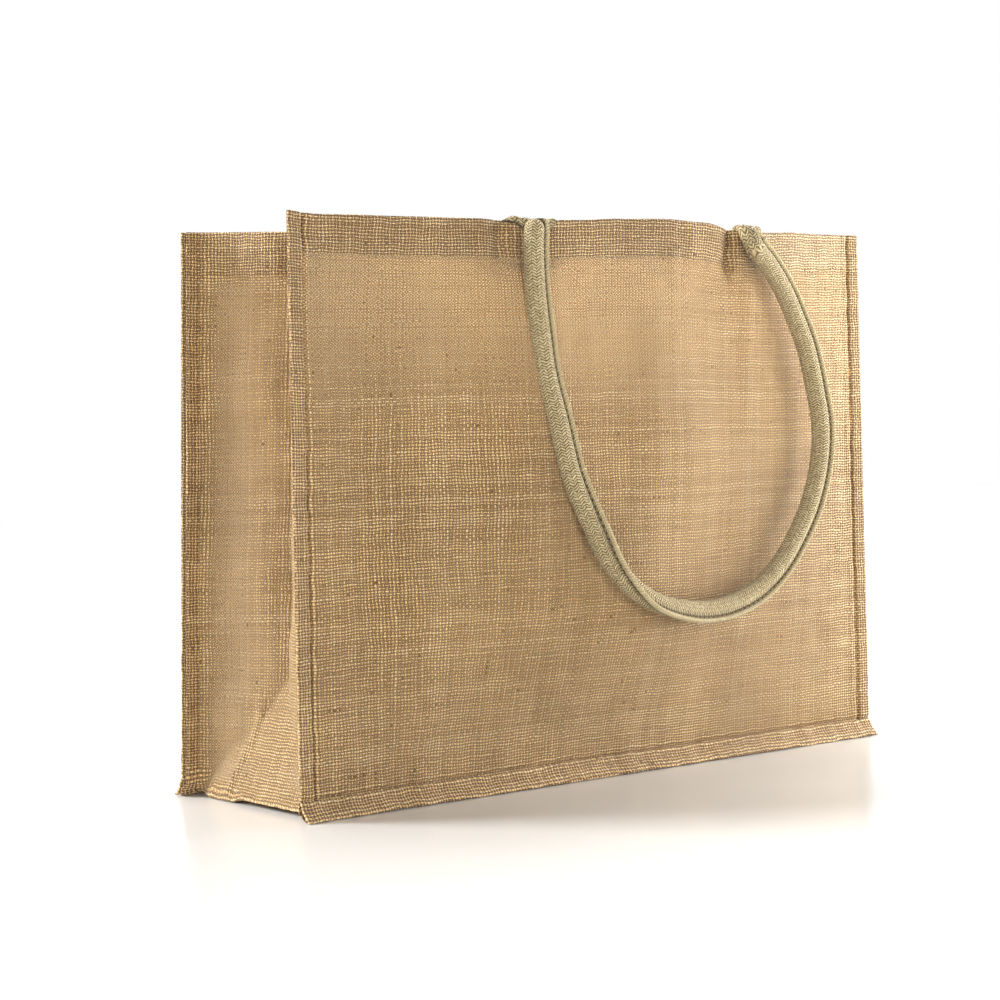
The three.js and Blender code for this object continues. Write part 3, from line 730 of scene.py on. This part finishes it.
class OBJECT_OT_tote_stage(bpy.types.Operator):
    """Sets up the camera, the floor, the lamps and the white surroundings"""

    bl_idname = "object.tote_stage"
    bl_label = "Stage"

    eye = (-0.8738, -1.1118, 0.2065)
    yaw, pitch, roll = 0.6459, 0.0221, -0.0368
    lens = 76.93
    aim_height, far_off = 0.17, 3.0
    floor_half, floor_step, floor_level = 6000.0, 1500.0, -0.4

    def execute(self, context):
        stage = context.scene.tote_stage
        self.place_camera(context)
        self.lay_floor(stage)
        # Degrees round from the front and up, how wide each light is, and how near, if it isn't far away.
        for name, turn, rise, spread, near, strength in (
            ("key_light", 70, 6, 40, 0.8, stage.key),
            ("window_light", -140, 30, 24, None, stage.window),
            ("side_light", 115, 35, 40, None, stage.side),
            ("top_light", 170, 50, 40, None, stage.top),
            ("fill_light", 0, 10, 40, None, stage.fill),
            ("left_light", -60, 20, 40, None, stage.left),
        ):
            lamp = bpy.data.lights.new(name, "AREA" if near else "SUN")
            turn, rise, spread = (math.radians(angle) for angle in (turn, rise, spread))
            if near:
                lamp.shape, lamp.size = "DISK", 2 * near * math.tan(spread / 2)
                lamp.energy = strength * math.pi * near ** 2
            else:
                lamp.energy, lamp.angle = strength, spread
            way = Vector((math.sin(turn) * math.cos(rise), -math.cos(turn) * math.cos(rise), math.sin(rise)))
            obj = bpy.data.objects.new(name, lamp)
            obj.location = way * (near or self.far_off) + Vector((0, 0, self.aim_height))
            obj.rotation_euler = way.to_track_quat("Z", "Y").to_euler()
            obj.visible_camera = False
            context.collection.objects.link(obj)
        self.set_world(context)
        context.scene.view_settings.view_transform = "Standard"
        return {"FINISHED"}

    def place_camera(self, context):
        data = bpy.data.cameras.new("camera")
        data.sensor_width, data.lens = 36.0, self.lens
        data.clip_start, data.clip_end = 0.05, 50.0
        camera = bpy.data.objects.new("camera", data)
        aim = Matrix.Rotation(-self.yaw, 4, "Z") @ Matrix.Rotation(math.pi / 2 - self.pitch, 4, "X")
        camera.matrix_world = Matrix.Translation(self.eye) @ aim @ Matrix.Rotation(self.roll, 4, "Z")
        context.collection.objects.link(camera)
        context.scene.camera = camera

    def lay_floor(self, stage):
        places = runs(-self.floor_half, (self.floor_half, self.floor_step))
        x, y = np.meshgrid(places, places)
        points = np.stack([x, y, np.full_like(x, self.floor_level)], axis=-1).reshape(-1, 3)
        floor = make_mesh("floor", points, grid_faces(len(places), len(places)))
        floor.data.materials.append(material_named("White acrylic sheet", white_acrylic, stage))

    def set_world(self, context):
        """White surroundings that are seen directly and in reflections, and cast no light."""
        world = bpy.data.worlds.new("white_surroundings")
        world.use_nodes = True
        world.node_tree.nodes.clear()
        put = partial(add, world.node_tree)
        path = put("LightPath").node.outputs
        seen = put("MAXIMUM", (path["Is Camera Ray"], path["Is Glossy Ray"]))
        put("OutputWorld", {"Surface": put("Background", {"Color": (1, 1, 1, 1), "Strength": seen})})
        context.scene.world = world


class OBJECT_OT_tote_handles(bpy.types.Operator):
    """Builds the two rope-cored handles"""

    bl_idname = "object.tote_handles"
    bl_label = "Handles"

    # Rings that close a rope's end: (size, distance beyond the last full ring). The fin goes on a little
    # longer and keeps most of its size.
    dome = ((0.96, 1.6), (0.84, 3.3), (0.62, 4.8), (0.34, 5.8), (0.02, 6.3))
    fin_longer, fin_stays = 0.1, 0.7
    path_every = 16

    def execute(self, context):
        shape, look = BagShape(context.scene.tote_sizes), context.scene.tote_handles
        webbing = material_named("Herringbone cotton webbing", herringbone_webbing, look)
        outline = handle_outline(look)
        for place, panel in PANELS.items():
            walked, centre, tangent, fin_way, side_way = shape.rope_frames(panel, 1.0)
            wobble = 0.1 * uneven(walked, 0 * walked, 3, 40)[:, None]
            f = outline[None, :, 0] + wobble * smooth((outline[:, 0] - 6.5) / 2)[None, :]
            s = outline[None, :, 1] * np.ones_like(f)
            rings = centre[:, None] + fin_way[:, None] * f[..., None] + side_way[:, None] * s[..., None]
            fin = smooth((outline[:, 0] - 6.2) / 0.8)[:, None]
            caps = [[centre[end] + tangent[end] * way * off * (1 + self.fin_longer * fin)
                     + (rings[end] - centre[end]) * mix(size, 1.0, self.fin_stays * fin)
                     for size, off in self.dome] for end, way in ((0, -1), (-1, 1))]
            rings = np.concatenate([caps[0][::-1], rings, caps[1]])
            beyond = np.array([off for _, off in self.dome])
            along = np.concatenate([-beyond[::-1], walked, walked[-1] + beyond])
            obj = tube_object(f"handle_{place}_webbing", rings, outline, along)
            dress(obj, webbing, "webbing", f"handle_{place}")
        return {"FINISHED"}


def handle_outline(look):
    """Outline of a handle's section from the fin's edge round the rope and back: (along the fin, aside)."""
    radius, reach, half = (value / MM for value in (look.rope_radius, look.fin_reach, look.fin_half))
    fin = [(reach - back, half * size) for back, size in (
        (0.0, 0.0), (0.15, 0.7), (0.6, 1.0), (1.5, 1.04), (2.2, 0.9), (2.7, 0.5), (3.2, 0.28),
    )]
    fin.append((6.3, half * 0.3))
    turns = np.radians(np.linspace(11, 349, 44))
    rope = [(radius * math.cos(t), radius * math.sin(t)) for t in turns]
    return np.array(fin + rope + [(f, -s) for f, s in reversed(fin)])


def tube_object(name, rings, outline, along):
    """A closed tube of webbing from rings whose first and last points lie on each other. Its marks are how
    deep a point lies in the groove between rope and fin, and its share in the fin's outer face."""
    count, n = rings.shape[:2]
    cloth = np.stack(np.meshgrid(lengths_along(outline), along), axis=-1)
    bake = np.stack(np.meshgrid(np.linspace(0.01, 0.99, n), np.linspace(0.01, 0.99, count)), axis=-1)
    # The groove mark, stored as 'layers', darkens the webbing's colour there as painted shade.
    groove = smooth(1.0 - np.abs(outline[:, 0] - 6.6) / 1.3)
    fin = smooth((outline[:, 0] - 7.0) / 0.7)
    last = (count - 1) * n
    ends = [tuple(range(n - 1)), tuple(range(last + n - 2, last - 1, -1))]
    obj = make_mesh(
        name, rings.reshape(-1, 3), [*map(tuple, grid_faces(count, n)), *ends],
        cloth.reshape(-1, 2), bake.reshape(-1, 2),
        {"layers": np.tile(groove, count), "fin": np.tile(fin, count)}, sharp=80,
    )
    work = bmesh.new()
    work.from_mesh(obj.data)
    bmesh.ops.remove_doubles(work, verts=work.verts, dist=1e-6)
    bmesh.ops.recalc_face_normals(work, faces=work.faces)
    work.to_mesh(obj.data)
    work.free()
    return obj


def turned(panel, *grids):
    """The same grids, turned round for the back, so that a sheet's outer face still looks outwards."""
    return [grid[:, ::-1] if panel["facing"] > 0 else grid for grid in grids]


def cloth_faces(outer, inner, full):
    """How far the two faces of a cloth stand from its middle surface, where full is how full its rim is."""
    centre, thick = (outer + inner) / 2, (outer - inner) / 2
    return centre + thick * full, centre - thick * full


class OBJECT_OT_tote_panels(bpy.types.Operator):
    """Builds the front and the back panel with their hems and margins"""

    bl_idname = "object.tote_panels"
    bl_label = "Panels"

    # Painted backlight: a fixed mask of where light from behind is taken to shine through the upper cloth,
    # less and less towards the right.
    lit_most, lit_from, lit_over, lit_right = 0.9, 190, 120, 100
    # The side margins' cut edges: how uneven they are, how far they are trimmed and how wide that shows.
    fray, trim, edge_width = 0.12, 0.3, 5

    def execute(self, context):
        shape, look = BagShape(context.scene.tote_sizes), context.scene.tote_cloth
        jute = material_named("Plain-woven jute", woven_jute, look)
        half, side, top = shape.width / 2, shape.side, shape.height
        hem_foot = top - shape.panel_hem
        across = runs(-half, (-half + 2, 0.5), (-side - 2, 1), (-side + 4, 0.5), (-side + 12, 1),
                      (side - 12, 3), (side - 4, 1), (side + 2, 0.5), (half - 2, 1), (half, 0.5))
        heights = runs(0, (2, 0.5), (18, 1), (hem_foot - 4, 3), (hem_foot + 6, 1), (top - 4, 2), (top, 0.5))
        x, z = np.meshgrid(across, heights)
        at_edge = smooth((np.abs(x) - half) / self.edge_width + 1)
        lit = self.lit_most * smooth((z - self.lit_from) / self.lit_over) * smooth(1 - x / self.lit_right)
        cloth = np.stack([x + 300, z], axis=-1)
        for seed, (place, panel) in enumerate(PANELS.items()):
            fray = self.fray * uneven(0 * x, z, 71 + seed, 9) - self.trim
            middle = np.stack([
                x + np.sign(x) * fray * at_edge,
                panel["facing"] * (shape.panel_reach(panel, x, z) + panel_detail(shape, x, z, seed)),
                z - shape.edge_drop(x, z),
            ], axis=-1)
            middle, outer, inner, layers, glow, weave = turned(
                panel, middle, *panel_faces(shape, x, z), lit, cloth,
            )
            obj = sheet_object(
                f"{place}_panel_jute", shape.leaned(middle), outer, inner, weave, layers=layers, lit=glow,
            )
            settle(obj)
            dress(obj, jute, "jute", f"{place}_panel")
        return {"FINISHED"}


def panel_detail(shape, x, z, seed):
    """Small relief of a panel beyond its folds: grooves at the seams, gathers beside them, a worn hem."""
    to_side = shape.side - np.abs(x)
    to_foot = z - shape.seam_rise
    hem_line = z - (shape.height - shape.panel_hem + 2)
    groove = -1.9 * bell(to_side - 0.6, 1.2) * smooth((to_foot + 3) / 3)
    groove = groove + 0.7 * bell(to_side - 4.5, 2.5)
    crease = -1.3 * bell(to_foot - 0.8, 1.2) + 0.5 * bell(to_foot + 2.2, 1.6)
    gather = uneven(0 * x, z, 11 + seed, 13) * np.exp(-np.abs(to_side) / 7) * 0.45
    gather = gather + uneven(x, 0 * z, 17 + seed, 15) * np.exp(-np.maximum(0, to_foot) / 9) * 0.45
    drawn = -0.4 * bell(hem_line, 1.3)
    drawn = drawn + 0.3 * uneven(x, 0 * z, 23 + seed, 22) * bell(hem_line, 9)
    soft = 0.5 * uneven(x, z, 31 + seed, 60) + 0.18 * uneven(x, z, 41 + seed, 18)
    soft = soft * smooth(to_side / 25) * smooth(to_foot / 20)
    # The handle pulls the cloth into a sharp pucker beside each of its ends.
    pull, pucker_length = 0.0, 46
    for top_x, foot_x, depth, half in ((87.5, 82, 4.2, 3.2), (-88, -93, 2.8, 4.5)):
        t = (shape.height - z) / pucker_length
        centre = mix(top_x, foot_x, t) - shape.lean * (z / shape.height - 0.5)
        pull = pull - depth * bell(x - centre, half) * smooth((1 - t) * 1.6)
    return groove + crease + drawn + gather + soft + pull


def panel_faces(shape, x, z):
    """How far a panel's two faces stand from its middle surface, and its extra layers."""
    hem = smooth((z - (shape.height - shape.panel_hem)) / 1.2)
    margin = np.maximum(smooth(np.abs(x) - shape.side + 0.5), smooth(shape.seam_rise - z + 0.5))
    outer = mix(mix(0.72, 0.95, hem), 1.15, margin)
    inner = mix(mix(0.37, -1.4, hem), -1.1, margin)
    rim = edge_roll(shape.height - z, 1.4) * edge_roll(shape.width / 2 - np.abs(x), 1.4) * edge_roll(z, 1.0)
    return *cloth_faces(outer, inner, rim), np.maximum(hem, margin)


def settle(obj):
    """Keeps a piece on the floor: nothing of it lies lower."""
    for vertex in obj.data.vertices:
        vertex.co.z = max(vertex.co.z, 0.0)


class OBJECT_OT_tote_gusset(bpy.types.Operator):
    """Builds the gusset strip that makes the two sides and the bottom"""

    bl_idname = "object.tote_gusset"
    bl_label = "Gusset"

    # Painted backlight: a fixed mask of where light from behind is taken to shine through each side between
    # its
    # fold and its seams: the most of it, and from where to where, measured from the strip's middle.
    lit_most, lit_from, lit_full, lit_fades, lit_to = 0.85, 22, 46, 53, 67
    margin_steps = np.array([0, 0.08, 0.2, 0.36, 0.52, 0.68, 0.84, 0.95])

    def execute(self, context):
        shape, look = BagShape(context.scene.tote_sizes), context.scene.tote_cloth
        jute = material_named("Plain-woven jute", woven_jute, look)
        (seam_x, seam_z, mid_x, mid_z, edge_x, edge_z, turn), along = gusset_rows(shape)
        places = runs(0, (0.08, 0.015), (0.86, 0.03), (1, 0.02))[::-1]
        halves = []
        for panel in (PANELS["front"], PANELS["back"]):
            facing = panel["facing"]
            low_seam = seam_z
            if facing > 0:
                corner = smooth((np.abs(seam_x) - shape.side + shape.corner_length) / 50)
                low_seam = seam_z - shape.corner_drop * smooth((shape.corner_from - seam_z) / 4) * corner
            margin = []
            for t in self.margin_steps:
                x = mix(edge_x, seam_x, t)
                point = shape.behind_panel(panel, x, mix(np.minimum(edge_z, low_seam), low_seam, t))
                margin.append(np.stack([x, point[..., 1], np.maximum(0, point[..., 2])], axis=-1))
            seam = shape.behind_panel(panel, seam_x, low_seam)
            seam_y = shape.seam_half(seam_z) - shape.margin_step
            inner = []
            # From the seam, where w is 1, to the strip's middle.
            for w in places:
                inward = 1 - w + shape.fold_swell * math.sin(2 * math.pi * (1 - w)) / (2 * math.pi)
                inward = np.maximum(0, soft_min(inward, mid_z / shape.triangle, shape.fold_sharpness))
                fold = shape.fold_depth(mid_z) * inward
                bank = smooth((w * seam_y - (seam_y - shape.bank)) / shape.bank)
                lies = 0.0
                if facing > 0:
                    lies = smooth((w - 0.15) / 0.3) * smooth((shape.side_fold_rise + 4 - mid_z) / 4)
                level = mix(mix(mid_z, shape.bottom_half, lies), seam[..., 2], bank)
                level = level - shape.top_sag * (1 - w) * smooth((mid_z - shape.sag_from) / shape.sag_over)
                inner.append(np.stack([
                    mix(mid_x, seam_x, bank) - np.sign(mid_x) * fold * turn,
                    facing * w * seam_y,
                    level,
                ], axis=-1))
            halves.append(np.stack([*margin, *inner], axis=1))
        middle = np.concatenate([halves[0], halves[1][:, -2::-1]], axis=1)
        half = np.concatenate([
            -shape.gusset_margin * (1 - self.margin_steps) - shape.foot_half, -places * shape.foot_half,
        ])
        offset = np.concatenate([half, -half[-2::-1]])
        cloth = np.stack(np.meshgrid(offset + 100, along), axis=-1)
        hem_foot = shape.height - shape.gusset_hem
        side = np.abs(offset)[None, :]
        lit = smooth((side - self.lit_from) / (self.lit_full - self.lit_from))
        lit = self.lit_most * lit * smooth((self.lit_to - side) / (self.lit_to - self.lit_fades))
        lit = lit * (smooth((mid_z - 8) / 8) * smooth((hem_foot - 2 - seam_z) / 6))[:, None]
        hem = smooth((seam_z - hem_foot) / 1.2)[:, None]
        to_end = np.minimum(along - along[0], along[-1] - along)[:, None]
        to_edge = np.minimum(offset - offset[0], offset[-1] - offset)[None, :]
        is_margin = (to_edge < shape.gusset_margin * self.margin_steps[-1] + 0.01) * 1.0
        outer = mix(mix(0.72, 0.95, hem), 0.9, is_margin)
        inner = mix(mix(0.37, -1.3, hem), -0.9, is_margin)
        rim = edge_roll(to_end, 1.4) * edge_roll(to_edge, 1.2)
        # Painted light: the hem's lower band counts as partly single cloth, so it is painted lighter and lets
        # some light through.
        painted_hem_light = 0.35 * smooth((hem_foot + 8 - seam_z) / 1.5)[:, None]
        layers = np.maximum(hem * (1 - painted_hem_light), is_margin) * np.ones_like(rim)
        middle = gusset_detail(shape, middle, offset, along, mid_z, turn)
        obj = sheet_object(
            "gusset_jute", shape.leaned(middle), *cloth_faces(outer, inner, rim), cloth, layers=layers,
            lit=lit,
        )
        settle(obj)
        dress(obj, jute, "jute", "gusset")
        return {"FINISHED"}


def gusset_rows(shape):
    """Rows of the gusset from the left top edge, under the bag, to the right top edge: x and z of the seam,
    of the strip's middle and of the margin's edge, the fold's share, and how far along the strip it is."""
    side, margin, top = shape.side, shape.gusset_margin, shape.height
    heights = np.concatenate([
        np.arange(top, top - 4, -0.5), np.arange(top - 4, top - 32, -1), np.arange(top - 32, 82, -3),
        np.arange(82, 21, -2), [20],
    ])
    upright = [(side, z, side, z, side + margin, z, 1.0) for z in heights]
    floor = [(x, shape.seam_rise, x, float(shape.floor_rise(x)), x, shape.gusset_margin_foot, 0.0)
             for x in np.arange(side - 20, -0.1, -3.0)]
    corner = np.array(CORNER_ROWS) + side * np.array([1, 0, 1, 0, 1, 0, 0])
    keys = np.array([upright[-1], *corner, floor[0]])
    steps = np.concatenate([np.arange(0, len(keys) - 1, 0.2), [len(keys) - 1]])
    bend = along_line(keys, np.arange(len(keys)), steps).T
    right = np.array([*upright[:-1], *bend, *floor[1:]])
    left = right * np.array([-1, 1, -1, 1, -1, 1, 1])
    rows = np.concatenate([left, right[-2::-1]])
    return rows.T, lengths_along(rows[:, 2:4])


def gusset_detail(shape, middle, offset, along, mid_z, turn):
    """The gusset's middle surface with its small relief."""
    normal = unit(np.cross(np.gradient(middle, axis=1), np.gradient(middle, axis=0)))
    y, s = offset[None, :], along[:, None]
    free = smooth((shape.foot_half - np.abs(y)) / 18) * smooth((mid_z - 20) / 40)[:, None]
    relief = (0.7 * uneven(y, s, 51, 55) + 0.2 * uneven(y, s, 53, 17)) * free
    low = smooth((shape.triangle * 0.95 - mid_z) / 25)[:, None] * smooth(turn)[:, None]
    # A pleat runs up the triangle from its foot, nearer and nearer to its middle.
    pleat_foot, pleat_top, pleat_rise, pleat_half, pleat_out = 35, 18, 55, 3.4, 1.7
    line = mix(pleat_foot, pleat_top, np.clip(mid_z / pleat_rise, 0, 1))[:, None]
    return middle + normal * (relief + pleat_out * bell(y - line, pleat_half) * low)[..., None]


class OBJECT_OT_tote_handle_ends(bpy.types.Operator):
    """Builds the flattened ends of the handles, from inside the hem over the top edge to the rope"""

    bl_idname = "object.tote_handle_ends"
    bl_label = "Handle Ends"

    def execute(self, context):
        shape, look = BagShape(context.scene.tote_sizes), context.scene.tote_handles
        webbing = material_named("Herringbone cotton webbing", herringbone_webbing, look)
        for place, panel in PANELS.items():
            flap = flap_object(f"handle_end_{place}_left", shape, panel)
            dress(flap, webbing, "webbing", f"tab_{place}_left")
            rings, outline = right_end_rings(shape, look, panel)
            along = lengths_along(rings.mean(axis=1))
            end = tube_object(f"handle_end_{place}_right", rings, outline, along)
            dress(end, webbing, "webbing", f"tab_{place}_right")
        return {"FINISHED"}


def flap_object(name, shape, panel):
    """A handle's left end: the opened webbing comes up from inside the hem, rolls over the top edge and ends
    in an uneven fold behind the head of the rope."""
    path = np.array(FLAP_PATH)
    x, reach, stands, half = catmull(np.array(FLAP_WIDTH), np.linspace(0, len(FLAP_WIDTH) - 1, 61)).T
    steps = np.sqrt(np.linspace(0, 1, 42))[:, None] * reach[None, :]
    fine = np.linspace(0, len(path) - 1, 141)
    walked = np.interp(fine, np.arange(len(path)), lengths_along(path))
    out, z = along_line(catmull(path, fine), walked, steps)
    over = smooth((z - 338) / 10)
    z = z + stands * over + 0.25 * uneven(x[None, :], steps, 61, 7) * over
    x = x[None, :] * np.ones_like(z)
    pre = x - shape.lean * (z / shape.height - 0.5)
    base = shape.panel_reach(panel, pre, np.minimum(shape.height, z))
    drop = shape.edge_drop(pre, np.full_like(z, shape.height)) * smooth((z - 300) / 40)
    ripple = 0.35 * uneven(x, steps, 63, 9) * over
    middle = np.stack([x, panel["facing"] * (base + out + ripple), z - drop], axis=-1)
    tip = edge_roll(reach[None, :] - steps, 1.6)
    thick = half[None, :] * tip * edge_roll(np.minimum(x - x[0, 0], x[0, -1] - x), 1.5)
    under = smooth((steps - reach[None, :] + 2.2) / 2.2) * 0.75
    middle, thick, under, cloth = turned(panel, middle, thick, under, np.stack([x, steps], axis=-1))
    return sheet_object(name, middle, thick, -thick, cloth, layers=under)


def right_end_rings(shape, look, panel):
    """Rings of a handle's right end. The webbing is a flattened tube without core there: from inside the hem
    it goes up, over the top edge and down to the rope."""
    _, centre, _, fin_way, _ = shape.rope_frames(panel, 1.0)
    facing = panel["facing"]
    outline = handle_outline(look)
    keys = []
    for x, out, z, fold, plump in RIGHT_END:
        pre = np.array(x - shape.lean * (z / shape.height - 0.5))
        reach = shape.panel_reach(panel, pre, np.array(min(shape.height, z))) + out
        drop = shape.edge_drop(pre, np.array(shape.height)) * smooth((z - 300) / 40)
        keys.append((*shape.leaned(np.array([pre, facing * reach, z - drop])), 1.0, 0.0, 0.0, fold, plump))
    for walk, fold, plump in ROPE_JOIN:
        keys.append((*centre[-1 - walk], *fin_way[-1 - walk], fold, plump))
    keys = np.array(keys, dtype=float)
    rows = catmull(keys, np.linspace(0, len(keys) - 1, 6 * (len(keys) - 1) + 1))
    middle, fin = rows[:, :3], unit(rows[:, 3:6])
    walk = unit(np.gradient(middle, axis=0))
    fin = unit(fin - walk * np.sum(fin * walk, axis=1, keepdims=True))
    side = np.cross(walk, fin)
    rings = []
    turns = np.arctan2(outline[:, 1], outline[:, 0])
    on_rope = outline[:, 0] < 6.25
    for k in range(len(rows)):
        fold, plump = rows[k, 6:8]
        flat_f = np.where(on_rope, 6.1 - (6.1 + fold) * (1 - np.cos(turns)) / 2, outline[:, 0])
        flat_s = np.where(on_rope, 1.25 * np.clip(3.2 * np.sin(turns), -1, 1), outline[:, 1])
        f = mix(flat_f, outline[:, 0] * 1.02, plump)
        s = mix(flat_s, outline[:, 1] * 1.04, plump)
        s = s + 0.35 * uneven(f, k * 1.4 + 0 * f, 61, 14) * (1 - plump) * smooth((f + fold) / 4)
        rings.append(middle[k] + fin[k] * f[:, None] + side[k] * s[:, None])
    return np.array(rings), outline


def catmull(rows, places):
    """Rows of values between given rows, on smooth curves through them."""
    padded = np.concatenate([2 * rows[:1] - rows[1:2], rows, 2 * rows[-1:] - rows[-2:-1]])
    out = []
    for place in places:
        i = min(int(place), len(rows) - 2)
        t = place - i
        p0, p1, p2, p3 = padded[i:i + 4]
        out.append(0.5 * (2 * p1 + (p2 - p0) * t + (2 * p0 - 5 * p1 + 4 * p2 - p3) * t ** 2
                          + (3 * p1 - p0 - 3 * p2 + p3) * t ** 3))
    return np.array(out)


class OBJECT_OT_tote_stitches(bpy.types.Operator):
    """Sews the hems, the seams and the handles' fins"""

    bl_idname = "object.tote_stitches"
    bl_label = "Stitches"

    def execute(self, context):
        shape, look = BagShape(context.scene.tote_sizes), context.scene.tote_handles
        thread = material_named("Spun jute thread", spun_thread, look)
        hems, seams, fins = [], [], []
        for seed, panel in enumerate(PANELS.values()):
            across = np.arange(-shape.side + 2, shape.side - 2, 2.0)
            up = np.arange(shape.seam_rise + 3, shape.height - 1, 2.0)
            hem_z = shape.height - shape.panel_hem + 2
            for rows, x, z, rise, face in (
                (hems, across, hem_z, 0.62, 1),
                (hems, across, hem_z, -1.2, -1),
                (seams, -shape.side - 1.6, up, 1.05, 1),
                (seams, shape.side + 1.6, up, 1.05, 1),
                (seams, across, shape.seam_rise - 1.2, 1.0, 1),
            ):
                x, z = (np.array(values) for values in np.broadcast_arrays(x, z))
                rows.append((*on_panel(shape, panel, x, z, seed, rise, face), 3.0, 1.0, 0.3))
            _, centre, _, fin_way, side_way = shape.rope_frames(panel, 2.0)
            for face in (-1, 1):
                line = centre + fin_way * 6.75 + side_way * face * 0.95
                fins.append((line[2:-2], side_way[2:-2] * face, 3.2, 1.2, 0.34))
        for name, rows, slot in (("hem_stitches", hems, "jute"), ("seam_stitches", seams, "jute"),
                                 ("handle_stitches", fins, "webbing")):
            dress(stitches_object(name, rows), thread, slot)
        return {"FINISHED"}


def on_panel(shape, panel, x, z, seed, rise, face):
    """Points on a panel's face and the directions away from it."""
    facing = panel["facing"]

    def reach(px, pz):
        return shape.panel_reach(panel, px, pz) + panel_detail(shape, px, pz, seed)

    normal = facing_out(reach, facing, x, z)
    points = np.stack([x, facing * reach(x, z), z - shape.edge_drop(x, z)], axis=-1)
    return shape.leaned(points + normal * rise), normal * face


class VIEW3D_PT_tote_bag(bpy.types.Panel):
    """Sizes, colours and building steps of the tote bag"""

    bl_label = "Tote Bag"
    bl_space_type = "VIEW_3D"
    bl_region_type = "UI"
    bl_category = "Tote Bag"

    def draw(self, context):
        for group in ("tote_sizes", "tote_cloth", "tote_handles", "tote_stage"):
            box = self.layout.box()
            settings = getattr(context.scene, group)
            for key in settings.__annotations__:
                box.prop(settings, key)
        for operator in STEPS:
            self.layout.operator(operator.bl_idname)


GROUPS = {
    "tote_sizes": ToteSizes, "tote_cloth": ToteCloth, "tote_handles": ToteHandles, "tote_stage": ToteStage,
}
STEPS = (
    OBJECT_OT_tote_stage,
    OBJECT_OT_tote_handles,
    OBJECT_OT_tote_panels,
    OBJECT_OT_tote_gusset,
    OBJECT_OT_tote_handle_ends,
    OBJECT_OT_tote_stitches,
)


def register():
    for cls in (*GROUPS.values(), *STEPS, VIEW3D_PT_tote_bag):
        bpy.utils.register_class(cls)
    for name, cls in GROUPS.items():
        setattr(bpy.types.Scene, name, bpy.props.PointerProperty(type=cls))


def unregister():
    for name in GROUPS:
        delattr(bpy.types.Scene, name)
    for cls in (VIEW3D_PT_tote_bag, *reversed(STEPS), *reversed(GROUPS.values())):
        bpy.utils.unregister_class(cls)


def main():
    register()
    for step in STEPS:
        group, name = step.bl_idname.split(".")
        getattr(getattr(bpy.ops, group), name)()


if __name__ == "__main__":
    main()
